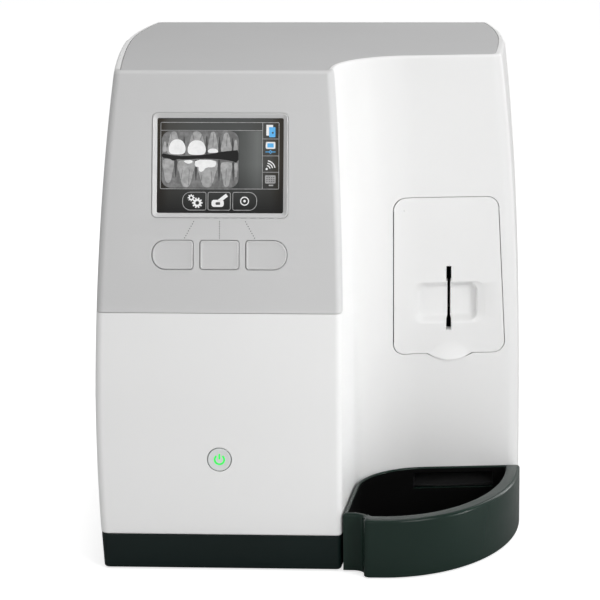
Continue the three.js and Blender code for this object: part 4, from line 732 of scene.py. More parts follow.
def finishes():
    """The materials of every slot, by name."""
    tints = bpy.context.scene.scanner_colours
    plain = {name: tuple(getattr(tints, name)) for name in type(tints).__annotations__}
    surfaces = {}
    for slot, (name, tint, roughness, more) in MOULDED.items():
        surfaces[slot] = moulded(name, plain.get(tint, tint), roughness, **more)
    for slot, (name, tint, share, strength, contrast) in LIT.items():
        surfaces[slot] = glowing(name, shades(plain.get(tint, tint), share)[:3], strength, contrast)
    for slot, (name, ends, shares) in SCREENS.items():
        surfaces[slot] = screen_face(name, plain["screen"], ends, shares)
    return surfaces


# Body solids that the shells are cut from

RING_STEP = 0.010
BOTTOM_ROUND = 0.0022
TOP_ROUND = 0.0032
TOP_INSETS = Inset(0.0024, 0.0042, 0.0020, 0.0024)
LID_INSET = Inset(0.0055, 0.0044, 0.0041, 0.0041)
LID_THICKNESS = 0.003
LEDGE_THICKNESS = 0.0025
LEDGE_REACH = 0.005
PANEL_WRAP = 0.012
HAIR = PLAY / 100


def levels(low, high):
    """Evenly spaced heights from one to another."""
    count = max(2, round((high - low) / RING_STEP))
    return [low + (high - low) * index / count for index in range(count + 1)]


def body_solid(name, inward=0.0):
    """Outer solid of the body, or a stepped-in copy of it."""
    bottom = edge_round(BASE_TOP, BOTTOM_ROUND, even(BOTTOM_ROUND), -1, steps=3)[::-1]
    top = edge_round(HEIGHT, TOP_ROUND, TOP_INSETS, 1, steps=7)
    middle = [(z, even(0)) for z in levels(bottom[-1][0], top[0][0])[1:-1]]
    return loft(name, [(z, body_outline(z, grown(inset, inward))) for z, inset in bottom + middle + top])


def body_cavity(name):
    """Space inside the body, with the ledge that the lid rests on and the pocket around it."""
    ledge_top = HEIGHT - LID_THICKNESS - PLAY
    ledge_bottom = ledge_top - LEDGE_THICKNESS
    rings = [(z, even(WALL)) for z in [BASE_TOP - OVERRUN] + levels(BASE_TOP, ledge_bottom)]
    rings += [(z, grown(LID_INSET, LEDGE_REACH)) for z in (ledge_bottom + HAIR, ledge_top)]
    rings += [(z, grown(LID_INSET, -PLAY)) for z in (ledge_top + HAIR, HEIGHT, HEIGHT + OVERRUN)]
    return loft(name, [(z, body_outline(min(z, HEIGHT), inset)) for z, inset in rings])


def body_shell(name):
    """The hollow body before it is divided."""
    return cut(body_solid(name), body_cavity("cavity"))


def panel_slab(name, grow):
    """The leaning slab that the control panel is cut from."""
    rings = []
    for z in levels(PANEL_BOTTOM - grow, HEIGHT) + [HEIGHT + OVERRUN]:
        at = min(z, HEIGHT)
        right = column_right(at) + PANEL_WRAP
        back = column_front(at) + PANEL_WRAP + grow
        rings.append((z, [(-WIDTH, -BODY_DEPTH), (right, -BODY_DEPTH), (right, back), (-WIDTH, back)]))
    return loft(name, rings)


def zone(name, y, z=(-OVERRUN, HEIGHT + OVERRUN)):
    """Everything between two depths and two heights."""
    return block(name, (-WIDTH, WIDTH), y, z)


# Access door, its slot, dish, thumb lip and hinge

DOOR_LEFT = 0.076
DOOR_RIGHTS = (0.1756, 0.1684)
DOOR_BOTTOM = 0.1595
DOOR_TOP = 0.302
DOOR_CORNER = 0.010
DOOR_CORNER_STEPS = 10
DOOR_THICKNESS = 0.0032
DOOR_CHAMBER = 0.036
DOOR_DEPTHS = (FACE_DEPTH / 2, FACE_DEPTH + DOOR_CHAMBER)
DOOR_ROOM = 0.0009
LIP_WIDE = 0.040
LIP_DROP = 0.0055
LIP_RISE = 0.012
LIP_REACH = 0.0045
LIP_STEPS = 20
LIP_COLUMNS = 28
LIP_ROWS = 18
LIP_SPAN = 0.98
LIP_FALL = 1.1
LIP_CURVE = 1.5
LIP_SINK = 0.0001
SLOT_X = 0.125
SLOT_HEIGHT = 0.2098
SLOT_LENGTH = 0.0588
SLOT_NARROW = 0.0025
SLOT_WIDE = 0.0044
SLOT_UPPER_SHARE = 0.235
SLOT_LOWER_SHARE = 0.16
SLOT_FLARE_SHARE = 0.05
GUIDE_WALL = 0.002
GUIDE_DEPTH = 0.013
DISH_X = 0.126
DISH_HEIGHT = 0.206
DISH_WIDE = 0.064
DISH_TALL = 0.038
DISH_CORNER = 0.0085
LEAST_DISH_CORNER = 0.003
DISH_DEPTH = 0.009
DISH_WALL = 0.0022
DISH_SLOPE = 14.0
# Heights over the dish's floor, drafts of its walls and drafts of its right wall, in millimetres
DISH_PROFILE = ((0, 9.0, 9.4), (0.2, 7.4, 8.8), (0.8, 6.0, 8.4), (1.8, 4.9, 8.2), (3.2, 4.0, 8.0),
                (5.2, 2.9, 7.7), (7.2, 1.7, 7.1), (7.7, 1.3, 5.4))
DISH_SHOULDER = (0.0006, 0.55, 1.6)
DISH_ROLL = ((0.0, 0.0, 0.0), (-0.0006, -1.4, -1.4), (-0.0012, -4.0, -4.0))
DISH_FLARE = -5.0
HINGE_RIGHT = 0.1703
HINGE_DROP = 0.011
HINGE_INSETS = (0.0035, 0.0018)
BORE_RADIUS = 0.0011
PIN_IN_DOOR = 0.009
PIN_IN_HOUSING = 0.006
KNUCKLE_RADIUS = 0.0025
KNUCKLE_LENGTH = 0.010
BOSS_RADIUS = 0.0032
BOSS_LENGTH = 0.009
BOSS_SPARE = 0.0009

# Seat on the right column's face: X runs across it, Y into it from the surface and Z up
FACE_SEAT = INTO_SCENE @ Matrix((
    (1, 0, 0, DISH_X),
    (FACE_SLANT, 1, 0, face_plane(DISH_X, DISH_HEIGHT)),
    (0, 0, 1, 0),
    (0, 0, 0, 1),
))


def door_plan(grow):
    """Front view of the door, grown by a gap; a leaf's left edge stays back, so that its top swings free."""
    low, high = DOOR_BOTTOM - grow, DOOR_TOP + grow
    left = DOOR_LEFT - (grow if grow >= DOOR_ROOM else 0)
    half_lip = LIP_WIDE / 2 + grow
    radius = (half_lip ** 2 + LIP_DROP ** 2) / (2 * LIP_DROP)
    sweep = math.asin(half_lip / radius)
    angles = [sweep * (2 * step / LIP_STEPS - 1) for step in range(LIP_STEPS + 1)]
    lip_edge = [
        (DISH_X + radius * math.sin(angle), low - radius * (math.cos(angle) - math.cos(sweep)), 0, 0)
        for angle in angles
    ]
    corner = (DOOR_CORNER + grow, DOOR_CORNER_STEPS)
    right_low, right_high = (right + grow for right in DOOR_RIGHTS)
    return rounded_outline([(left, low, *corner), *lip_edge, (right_low, low, *corner),
                            (right_high, high, *corner), (left, high, *corner)])


def door_prism(name, grow):
    """The door's outline drawn through the right column's face."""
    return prism(name, door_plan(grow), DOOR_DEPTHS)


def slot_plan(grow):
    """Front view of the slot: wide at both ends, with a short flare into the lower one."""
    half = SLOT_LENGTH / 2 + grow
    narrow, wide = SLOT_NARROW / 2 + grow, SLOT_WIDE / 2 + grow
    upper = half - SLOT_LENGTH * SLOT_UPPER_SHARE
    lower = -half + SLOT_LENGTH * SLOT_LOWER_SHARE
    flare = lower + SLOT_LENGTH * SLOT_FLARE_SHARE
    path = [(wide, -half), (wide, lower), (narrow, flare), (narrow, upper), (wide, upper), (wide, half)]
    right = [(SLOT_X + x, SLOT_HEIGHT + z) for x, z in path]
    left = [(SLOT_X - x, SLOT_HEIGHT + z) for x, z in reversed(path)]
    return right + left


def slot_bevel(name, depth, width):
    """A cutter that bevels the slot's edge where it meets a surface at a depth."""
    plans = [(depth + width, 0), (depth, width), (depth - width / 2, width)]
    onto_slot = FACE_SEAT @ Matrix.Translation((-DISH_X, 0, 0)) @ UPRIGHT
    return loft(name, [(-at, slot_plan(grow)) for at, grow in plans], onto_slot)


def dish_solid(name, grow, front, rolled=False):
    """The dish as a tapered hollow that gets deeper to the right, or its bowl when grown."""
    profile = [(DISH_DEPTH + grow - over * MM, *drafts) for over, *drafts in DISH_PROFILE]
    shoulder, *shoulder_drafts = DISH_SHOULDER
    profile.append((shoulder + grow, *shoulder_drafts))
    profile += [*DISH_ROLL, (front, DISH_FLARE, DISH_FLARE)] if rolled else [(front, 0.0, 0.0)]
    rings = []
    for depth, draft, right_draft in profile:
        inward, shift = draft * MM - grow, (draft - right_draft) * MM / 2
        wide, tall = DISH_WIDE - inward * 2 + shift * 2, DISH_TALL - inward * 2
        corner = max(DISH_CORNER - inward / 2, LEAST_DISH_CORNER)
        rings.append((-depth, rounded_rectangle(shift, DISH_HEIGHT, wide, tall, corner, steps=10)))
    dish = loft(name, rings, UPRIGHT)
    for vertex in dish.data.vertices:
        vertex.co.y *= 1 + DISH_SLOPE * vertex.co.x if vertex.co.y > 0 else 1
    dish.data.transform(FACE_SEAT)
    return dish


def thumb_lip(name):
    """Thumb lip under the door: it swells out of the face from a soft upper arc to a curved lower edge."""
    front, back = [], []
    for row in range(LIP_ROWS + 1):
        fall = row / LIP_ROWS * LIP_FALL
        swell = LIP_REACH * min(1.0, fall) ** LIP_CURVE
        lines = []
        for column in range(LIP_COLUMNS + 1):
            across = LIP_SPAN * 2 * column / LIP_COLUMNS - LIP_SPAN
            hump = 1 - across ** 2
            high, low = DOOR_BOTTOM + LIP_RISE * hump, DOOR_BOTTOM - LIP_DROP * hump
            depth = LIP_SINK - swell * hump ** LIP_CURVE
            lines.append((LIP_WIDE / 2 * across, depth, high + (low - high) * fall))
        front.append(lines)
        back.append([(x, DOOR_THICKNESS / 2, z) for x, y, z in lines])
    return relief(name, front, back, FACE_SEAT)


def hinge_ends():
    """Where the hinge line leaves the door, with the line's way inward: the left edge and the right one."""
    height = DOOR_TOP - HINGE_DROP
    places = zip((DOOR_LEFT, HINGE_RIGHT), HINGE_INSETS)
    left, right = (Vector((x, surface_at(x, height) + inset, height)) for x, inset in places)
    line = (right - left).normalized()
    return (left, line), (right, -line)


def hinge_bars(name, start, end, radius):
    """Bars on the hinge line at both edges, from and to distances inward of them."""
    return [bar(name, edge + inward * start, edge + inward * end, radius) for edge, inward in hinge_ends()]


# Pieces of the body

EXIT = (0.0922, 0.1678, 0.0495)
POWER_X = -0.071
POWER_HEIGHT = 0.1004
POWER_RADIUS = 0.0102
POWER_GAP = 0.0006
ROUND_SIDES = 96


def on_power(depth):
    """A point on the power button's axis."""
    return Vector((POWER_X, depth, POWER_HEIGHT))


def front_shell(sizes):
    """White shell in front of the seam, cut for the panel, the door, the power button and the exit."""
    shell = common(body_shell("front_shell"), zone("front part", (-BODY_DEPTH, SEAM_DEPTH - SEAM_GAP / 2)))
    cut(shell, panel_slab("panel room", sizes.panel_gap))
    bosses = []
    for edge, inward in hinge_ends():
        end = edge - inward * BOSS_LENGTH
        left, right = sorted((edge.x, end.x))
        y = min(edge.y, end.y)
        bosses.append(block("boss root", (left - BOSS_SPARE, right + BOSS_SPARE), (y - OVERRUN, y),
                            (edge.z - BOSS_RADIUS, edge.z + BOSS_RADIUS)))
        bosses.append(bar("boss", end, edge, BOSS_RADIUS))
    join(shell, common(join(*bosses), body_solid("boss room", WALL / 2)))
    cut(shell, door_prism("door room", DOOR_ROOM))
    cut(shell, *hinge_bars("bore", -PIN_IN_HOUSING - PLAY, PIN_IN_DOOR, BORE_RADIUS))
    cut(shell, bar("button room", on_power(-OVERRUN), on_power(WALL * 2), POWER_RADIUS + POWER_GAP,
                   ROUND_SIDES))
    cut(shell, block("exit room", EXIT[:2], (FACE_DEPTH / 2, FACE_DEPTH + OVERRUN * 2), (0, EXIT[2])))
    finish(shell, "cabinet", "shell_white", "front_housing")


TONGUE_REACH = 0.006
TONGUE_THICKNESS = 0.0016
VENT_X = -0.082
VENT_HEIGHT = 0.250
VENT_COUNT = 9
VENT_STEP = 0.009
VENT = (0.004, 0.042, 0.0019)
FAN_X = 0.120
FAN_HEIGHT = 0.330
GRILLE_RADIUS = 0.026
GRILLE_COUNT = 7
GRILLE_STEP = 0.007
GRILLE_SLOT = (0.0034, 0.0016)
SCREWS = ((-0.142, 0.050), (0.150, 0.050), (0.024, 0.345), (0.076, 0.345))
SCREW_RADIUS = 0.0019
PORTS = ((-0.095, 0.062, 0.027, 0.020), (-0.095, 0.098, 0.020, 0.013), (-0.050, 0.058, 0.016, 0.014))
PORT_CORNER = 0.0008


def centred(count, step):
    """Evenly spaced places about zero."""
    return [(index - (count - 1) // 2) * step for index in range(count)]


def rear_shell():
    """White shell behind the seam, with its tongue, vents, grille and port openings."""
    start = SEAM_DEPTH + SEAM_GAP / 2
    shell = cut(body_solid("rear_shell", REAR_STEP), body_cavity("cavity"))
    common(shell, zone("rear part", (start, BODY_DEPTH * 2)))
    heights = (BASE_TOP + OVERRUN, HEIGHT - OVERRUN)
    tongue = body_solid("tongue", WALL + PLAY)
    common(tongue, zone("tongue room", (start - TONGUE_REACH, start + REAR_STEP), heights))
    root = body_solid("tongue root", WALL - REAR_STEP / 2)
    join(tongue, common(root, zone("root room", (start, start + OVERRUN), heights)))
    join(shell, cut(tongue, body_solid("tongue hollow", WALL + PLAY + TONGUE_THICKNESS)))
    openings = [rounded_rectangle(VENT_X + x, VENT_HEIGHT, *VENT) for x in centred(VENT_COUNT, VENT_STEP)]
    for rise in centred(GRILLE_COUNT, GRILLE_STEP):
        wide = math.sqrt(GRILLE_RADIUS ** 2 - rise ** 2) * 2
        openings.append(rounded_rectangle(FAN_X, FAN_HEIGHT + rise, wide, *GRILLE_SLOT))
    openings += [ring_of(x, z, SCREW_RADIUS, sides=24) for x, z in SCREWS]
    for x, z, wide, tall in PORTS:
        openings.append(rounded_rectangle(x, z, wide + PLAY * 2, tall + PLAY * 2, PORT_CORNER, steps=3))
    through = (BODY_DEPTH - OVERRUN * 1.5, BODY_DEPTH + OVERRUN)
    for plan in openings:
        cut(shell, prism("opening", plan, through))
    finish(shell, "cabinet", "shell_white", "rear_cover")


def lid_plate(sizes):
    """Grey top cover with a rolled upper edge."""
    edge = edge_round(HEIGHT, sizes.edge_round, even(sizes.edge_round), 1, steps=4)
    rings = [(HEIGHT - LID_THICKNESS, LID_INSET)] + [(z, grown(LID_INSET, inset.side)) for z, inset in edge]
    lid = loft("lid_plate", [(z, body_outline(z, inset)) for z, inset in rings])
    finish(lid, "cabinet", "lid_grey", "top_cover", sharp=SOFT_ANGLE)


FEET = ((-0.140, 0.030), (0.150, 0.185), (-0.145, 0.335), (0.145, 0.335))
RECESS_RADIUS = 0.0093
RECESS_DEPTH = 0.0015
TONGUES = (0.110, 0.150)
TONGUE_WIDE = 0.015
TONGUE_TALL = 0.003
TONGUE_LENGTH = 0.038
TONGUE_START = 0.006
TONGUE_ROOM = 0.0006
PAN_INSET = 0.001
PAN_SIDE_INSET = 0.0003
PAN_DRAFT = 0.0018
PAN_EDGE = 0.0025
PAN_FLOOR = 0.004


def base_moulding(sizes):
    """Dark base pan with leaning sides, a rolled lower edge, foot recesses and the tray's two slots."""
    def at(z, inset, draft=0.0):
        side = inset + draft + PAN_SIDE_INSET - PAN_INSET
        return z, body_outline(BASE_TOP, even(inset)._replace(side=side))

    edge = edge_round(UNDERSIDE, PAN_EDGE, even(PAN_EDGE), -1, steps=7)[::-1]
    rim = sizes.edge_round
    outer = [at(z, PAN_INSET + inset.side, PAN_DRAFT) for z, inset in edge]
    outer += [at(BASE_TOP - PLAY - rim, PAN_INSET), at(BASE_TOP - PLAY, PAN_INSET + rim)]
    pan = loft("base_moulding", outer)
    inside = PAN_INSET + PAN_FLOOR
    floor = FOOT_HEIGHT + PAN_FLOOR
    heel = PAN_EDGE / 2
    cut(pan, loft("pan hollow", [at(floor, inside + heel), at(floor + heel, inside), at(HEIGHT, inside)]))
    for x, y in FEET:
        top = Vector((x, y, FOOT_HEIGHT + RECESS_DEPTH))
        cut(pan, bar("recess", Vector((x, y, -OVERRUN)), top, RECESS_RADIUS, sides=48))
    for left in TONGUES:
        cut(pan, block("tongue slot", (left - TONGUE_ROOM, left + TONGUE_WIDE + TONGUE_ROOM),
                       (FACE_DEPTH / 2, FACE_DEPTH + OVERRUN * 2), (floor, floor + TONGUE_TALL + PLAY * 3)))
    finish(pan, "cabinet", "base_green", "base")


class SCANNER_OT_shells(bpy.types.Operator):
    """Build the front and rear shells, the lid and the base"""
    bl_idname = "scanner.shells"
    bl_label = "Shells, lid and base"

    def execute(self, context):
        sizes = context.scene.scanner_sizes
        front_shell(sizes)
        rear_shell()
        lid_plate(sizes)
        base_moulding(sizes)
        return {"FINISHED"}


# Control panel, screen and keys

COLUMN_MIDDLE = -0.070
SCREEN_HEIGHT = 0.352
SCREEN_WIDE = 0.1084
SCREEN_TALL = 0.0814
RIM = 0.0042
RIM_CORNER = 0.0045
RIM_INNER_CORNER = 0.0015
RIM_SHARP = 45
# How far the frame's section is outside the opening, and its depth
RIM_PROFILE = (
    (RIM, 0.0046), (RIM, 0.0006), (RIM - 0.0002, 0.0001), (RIM - 0.0006, -0.0002), (RIM - 0.0011, -0.0001),
    (RIM - 0.0015, 0.0003), (0.0008, 0.0016), (0.0003, 0.0019), (0.0, 0.0024), (0.0, 0.0046),
)
GLASS_OVERLAP = 0.0022
GLASS_THICKNESS = 0.0015
GLASS_FRONT = 0.0022 + PLAY
KEY_HEIGHT = 0.2774
KEY_SPACING = 0.0398
KEY_WIDE = 0.0332
OUTER_KEY_WIDE = 0.035
KEY_TALL = 0.0246
KEY_CORNER = 0.0026
KEY_CORNER_STEPS = 12
KEY_ROUND_END = 0.0115
LEAST_KEY_CORNER = 0.0006
KEY_GAP = 0.0006
KEY_FLANGE = (0.0016, (0.0036, 0.0048))
KEYS = (("key_cap_left", "left_key", "key_left"), ("key_cap_middle", "middle_key", "key_middle"),
        ("key_cap_right", "right_key", "key_right"))
# How far the key's section is outside its outline, its depth, and its share of the hollow
KEY_PROFILE = (
    (0.0, 0.0054, 0), (0.0, -0.0001, 0), (-0.0002, -0.0005, 0), (-0.0006, -0.0008, 0), (-0.0011, -0.0008, 0),
    (-0.0016, -0.0006, 0), (-0.0022, -0.0008, 0.7), (-0.0034, -0.0008, 0.9), (-0.0060, -0.0008, 1),
    (-0.0095, -0.0008, 1),
)
DOT_COUNT = 8
DOT_RADIUS = 0.00042
DOT_THICKNESS = 0.00016
DOT_HEIGHTS = (0.3052, 0.2916)
DOT_LINES = ((-0.0222, -0.0299), (0.0, 0.0), (0.0223, 0.0301))


def panel_seat(x, z):
    """A frame on the panel's surface: -Y points out of the panel and Z runs up along it."""
    return Matrix.Translation((x, column_front(z) + FRONT, z)) @ Matrix.Rotation(-column_tilt(z), 4, "X")


def screen_plan(grow, corner, steps=8):
    """Outline of the screen's opening, grown on every side."""
    return rounded_rectangle(0, 0, SCREEN_WIDE + grow * 2, SCREEN_TALL + grow * 2, corner, steps)


def key_plan(side, grow):
    """Outline of one soft key: the outer two have one round end."""
    wide = KEY_WIDE if side == 0 else OUTER_KEY_WIDE
    middle = side * (KEY_SPACING + (OUTER_KEY_WIDE - KEY_WIDE) / 4)
    corners = []
    for x, z in SQUARE:
        radius = KEY_ROUND_END if side != 0 and x * side > 0 else KEY_CORNER
        radius = max(radius + grow, LEAST_KEY_CORNER)
        corners.append((middle + x * (wide / 2 + grow), z * (KEY_TALL / 2 + grow), radius, KEY_CORNER_STEPS))
    return rounded_outline(corners)


def control_fascia(screen_seat, key_seat):
    """Grey panel wrapped round the left column's corners, open for the screen and the keys."""
    panel = common(body_shell("control_fascia"), panel_slab("panel part", 0))
    hole = screen_plan(RIM + PLAY, RIM_CORNER + PLAY)
    cut(panel, prism("screen room", hole, (-OVERRUN, OVERRUN), screen_seat))
    for side in SIDES:
        cut(panel, prism("key room", key_plan(side, KEY_GAP), (-OVERRUN, OVERRUN), key_seat))
    finish(panel, "cabinet", "panel_grey", "control_panel")


def screen_bezel(seat):
    """Frame round the screen: a raised round edge and a broad slope down to the glass."""
    rings = []
    for grow, depth in RIM_PROFILE:
        radius = RIM_INNER_CORNER + (RIM_CORNER - RIM_INNER_CORNER) * grow / RIM
        rings.append((-depth, screen_plan(grow, radius)))
    bezel = loft("screen_bezel", rings, seat @ UPRIGHT, hoop=True)
    finish(bezel, "cabinet", "panel_grey", "display_bezel", sharp=RIM_SHARP)


def screen_window(seat):
    """Coated screen behind the frame."""
    plan = screen_plan(GLASS_OVERLAP / 2, RIM_INNER_CORNER, steps=4)
    window = prism("screen_window", plan, (GLASS_FRONT, GLASS_FRONT + GLASS_THICKNESS), seat)
    finish(window, "cabinet", "screen_glass", "display_window")


def key_cap(side, hollow, seat):
    """One soft key: straight sides, a rolled ridge and a shallow hollow."""
    name, body, node = KEYS[side + 1]
    rings = [(-depth - hollow * share, key_plan(side, grow)) for grow, depth, share in KEY_PROFILE]
    flange_grow, flange_depths = KEY_FLANGE
    cap = loft(name, rings, seat @ UPRIGHT)
    join(cap, prism("flange", key_plan(side, flange_grow), flange_depths, seat))
    finish(cap, body, "panel_grey", node, sharp=SOFT_ANGLE)


def panel_dots():
    """Dotted lines printed from the screen to the three keys."""
    build = bmesh.new()
    for top, foot in DOT_LINES:
        for index in range(DOT_COUNT):
            share = index / (DOT_COUNT - 1)
            x = COLUMN_MIDDLE + top + (foot - top) * share
            z = DOT_HEIGHTS[0] + (DOT_HEIGHTS[1] - DOT_HEIGHTS[0]) * share
            bmesh.ops.create_cone(build, cap_ends=True, segments=14, radius1=DOT_RADIUS, radius2=DOT_RADIUS,
                                  depth=DOT_THICKNESS, matrix=panel_seat(x, z) @ UPRIGHT)
    dots = from_bmesh("panel_dots", build, Matrix.Identity(4))
    finish(dots, "cabinet", "panel_grey", look="print_grey", sharp=None)


class SCANNER_OT_panel(bpy.types.Operator):
    """Build the control panel, the screen and its frame, and the three keys"""
    bl_idname = "scanner.panel"
    bl_label = "Control panel, screen and keys"

    def execute(self, context):
        screen_seat = panel_seat(COLUMN_MIDDLE, SCREEN_HEIGHT)
        key_seat = panel_seat(COLUMN_MIDDLE, KEY_HEIGHT)
        control_fascia(screen_seat, key_seat)
        screen_bezel(screen_seat)
        screen_window(screen_seat)
        for side in SIDES:
            key_cap(side, context.scene.scanner_sizes.key_hollow, key_seat)
        panel_dots()
        return {"FINISHED"}


# Picture on the screen, in millimetres about the screen's middle

PICTURE = (-51.2, 50.3, -20.0, 36.9)
FILM = (-50.3, 15.8, -19.1, 29.6)
SIDE_FIELD = (16.2, 35.8, -19.6, 29.6)
COLUMN_LINE = 36.3
HEADER_LINE = 30.1
SIGN_LINES = (22.9, 8.4, -5.6)
FRAME_STROKE = 0.5
THIN_STROKE = 0.45
BLUE_STROKE = 0.6
RING_SIDES = 28
CORNER_CUT = 0.25
# Teeth: middle, width, and heights of the chewing edge, the neck and the root's tip
UPPER_TEETH = ((-40.0, 11.5, 9.4, 20.0, 29.2), (-20.2, 15.5, 9.0, 21.5, 29.2), (-6.3, 9.2, 10.8, 20.0, 29.0),
               (5.2, 9.6, 11.4, 19.0, 28.2), (-47.6, 3.6, 11.6, 17.0, 20.5), (13.2, 3.8, 12.0, 18.0, 22.0))
LOWER_TEETH = ((-44.6, 10.0, 5.6, -5.0, -15.0), (-29.2, 15.2, 4.6, -6.5, -18.6),
               (-11.0, 17.8, 5.0, -7.5, -18.8), (5.4, 10.2, 3.0, -7.0, -18.4), (13.6, 3.2, 2.2, -4.0, -10.0))
# Crowns: middle, width, and heights of both ends
CROWNS = ((-37.0, 14.6, 9.4, 22.4), (-20.2, 15.9, 9.0, 21.6), (-6.3, 9.0, 10.8, 14.6))
FILLINGS = (((-31.5, 4.2), (-24.2, 4.9), (-23.6, 2.4), (-27.4, 1.2), (-30.4, 2.6)),
            ((-21.6, 5.2), (-4.0, 4.7), (-3.4, 0.6), (-5.2, -1.6), (-12.0, -1.4), (-15.4, -5.8),
             (-18.6, -4.6), (-18.2, -1.0), (-21.8, -1.2)))
CANALS = (((-41.5, 22.6), (-42.4, 28.4)), ((-33.8, 22.6), (-32.6, 28.4)), ((-22.6, 21.9), (-24.2, 28.6)),
          ((-17.2, 21.9), (-15.0, 28.6)), ((-6.3, 16.0), (-5.8, 27.6)), ((5.2, 16.4), (6.0, 26.8)),
          ((-32.4, -3.5), (-34.2, -16.6)), ((-26.4, -3.5), (-27.0, -17.0)), ((-15.4, -8.0), (-17.0, -17.2)),
          ((-7.6, -5.0), (-6.8, -17.0)), ((5.4, -2.4), (4.8, -16.6)))
BITE = ((-50.2, 10.6), (-45.0, 9.4), (-36.0, 8.0), (-24.0, 8.4), (-12.0, 9.2), (2.0, 12.0), (12.0, 13.0),
        (15.7, 13.5), (15.7, 2.0), (8.0, 4.4), (-2.0, 5.6), (-16.0, 6.0), (-30.0, 5.0), (-37.0, 5.6),
        (-40.0, 3.6), (-44.0, 6.0), (-50.2, 6.6))
# Half outlines: shares of half the width, and of the run up to the neck or the top
TOOTH_EDGE = ((0.78, 0.0), (1.0, 0.12), (0.98, 0.3))
TOOTH_ROOT = ((0.76, 0.0), (0.62, 0.5), (0.34, 1.0))
CROWN_EDGE = ((0.7, 0.0), (1.0, 0.2), (0.96, 0.6), (0.5, 1.0))
GAP_HALF = 1.4
GAP_NECK = 0.9
GAP_SHARE = 0.7
# Plates of the signs: left, right, low, high, corner and its steps
WHITE_PLATES = ((39.4, 45.2, 25.8, 35.0, 0.4, 2), (39.0, 47.2, 14.4, 20.4, 0.9, 4),
                (-7.2, 3.4, -35.4, -29.4, 2.2, 5))
BLUE_PLATES = ((41.8, 47.2, 24.4, 33.0, 0.4, 2), (40.4, 45.8, 15.6, 19.2, 0.3, 2))
GREY_PLATES = ((38.6, 47.6, -15.2, -8.2, 0.9, 4), (41.8, 45.6, -17.4, -16.2, 0.2, 2))
HANDLE = ((-2.4, -29.8), (-0.6, -32.2), (7.0, -26.4), (5.2, -24.0))
DIAMOND = ((41.3, 11.8), (43.1, 10.2), (44.9, 11.8), (43.1, 13.4))
NETWORK_LINE = ((38.8, 11.8), (47.4, 11.8))
# Discs and rings: middle, radius, and sides or width
WAVE_DISC = (39.9, -2.8, 1.0, 20)
WAVE_RADII = (2.9, 5.0, 7.1)
WAVE_ENDS = (0.15, math.pi / 2 - 0.15)
HELP_DISC = (21.2, -30.4, 1.1, 20)
HELP_RING = (21.2, -30.4, 3.4, 0.9)
DARK_DISCS = ((43.1, 11.8, 0.7, 12), (45.0, 28.2, 0.8, 12))
DARK_PLATE = (-3.6, 0.2, -33.6, -31.4, 0.6, 3)
# Small marks: width, height and corner, then their places across and up
PIXEL = (1.0, 0.8, 0.2)
PIXEL_PLACES = ((39.8, 41.8, 43.8, 45.6), (-13.9, -12.2, -10.5))
GEARS = ((-24.6, -27.6, 2.1, 8), (-19.4, -32.0, 3.1, 10))
GEAR_SHARES = (0.8, 0.55, 1.45, 0.42)
KEY_SIGNS = ((-32.0, -11.9, -1), (-10.2, 9.0, 0), (11.1, 31.6, 1))
KEY_SIGN_HEIGHTS = (-38.2, -22.9)
KEY_SIGN_CORNERS = (1.6, 6.6)
KEY_SIGN_STEPS = 8


def smoothed(points, rounds=2):
    """A closed outline with its corners cut off again and again."""
    points = [Vector(point) for point in points]
    for _ in range(rounds):
        pairs = zip(points, points[1:] + points[:1])
        points = [a.lerp(b, share) for a, b in pairs for share in (CORNER_CUT, 1 - CORNER_CUT)]
    return points


def framed(left, right, low, high, radius, steps=5):
    """A rectangle between its sides, with rounded corners."""
    return rounded_rectangle((left + right) / 2, (low + high) / 2, right - left, high - low, radius, steps)


def mirrored(x, side):
    """A smoothed outline from half of it and its middle."""
    return smoothed([(x + a, z) for a, z in side] + [(x - a, z) for a, z in reversed(side)])


def tooth(x, wide, edge, neck, tip):
    """Outline of a tooth from its chewing edge over its neck to the tip of its root."""
    side = [(wide / 2 * share, edge + (tip - edge) * rise) for share, rise in TOOTH_EDGE]
    side += [(wide / 2 * share, neck + (tip - neck) * rise) for share, rise in TOOTH_ROOT]
    return mirrored(x, side)


def crown(x, wide, edge, top):
    """Outline of a tooth's crown."""
    return mirrored(x, [(wide / 2 * share, edge + (top - edge) * rise) for share, rise in CROWN_EDGE])


def in_metres(points):
    """Points given in millimetres, as vectors in metres."""
    return [Vector(point) * MM for point in points]


def on_screen(name, look, layer, fills=(), lines=()):
    """One colour of the picture, laid on the screen in its layer."""
    fills = [in_metres(outline) for outline in fills]
    lines = [(in_metres(points), width * MM, closed) for points, width, closed in lines]
    seat = panel_seat(COLUMN_MIDDLE, SCREEN_HEIGHT)
    printed = print_layer(name, fills, lines, seat, GLASS_FRONT - layer * PRINT_STEP)
    finish(printed, "cabinet", "screen_glass", look=look, sharp=None)


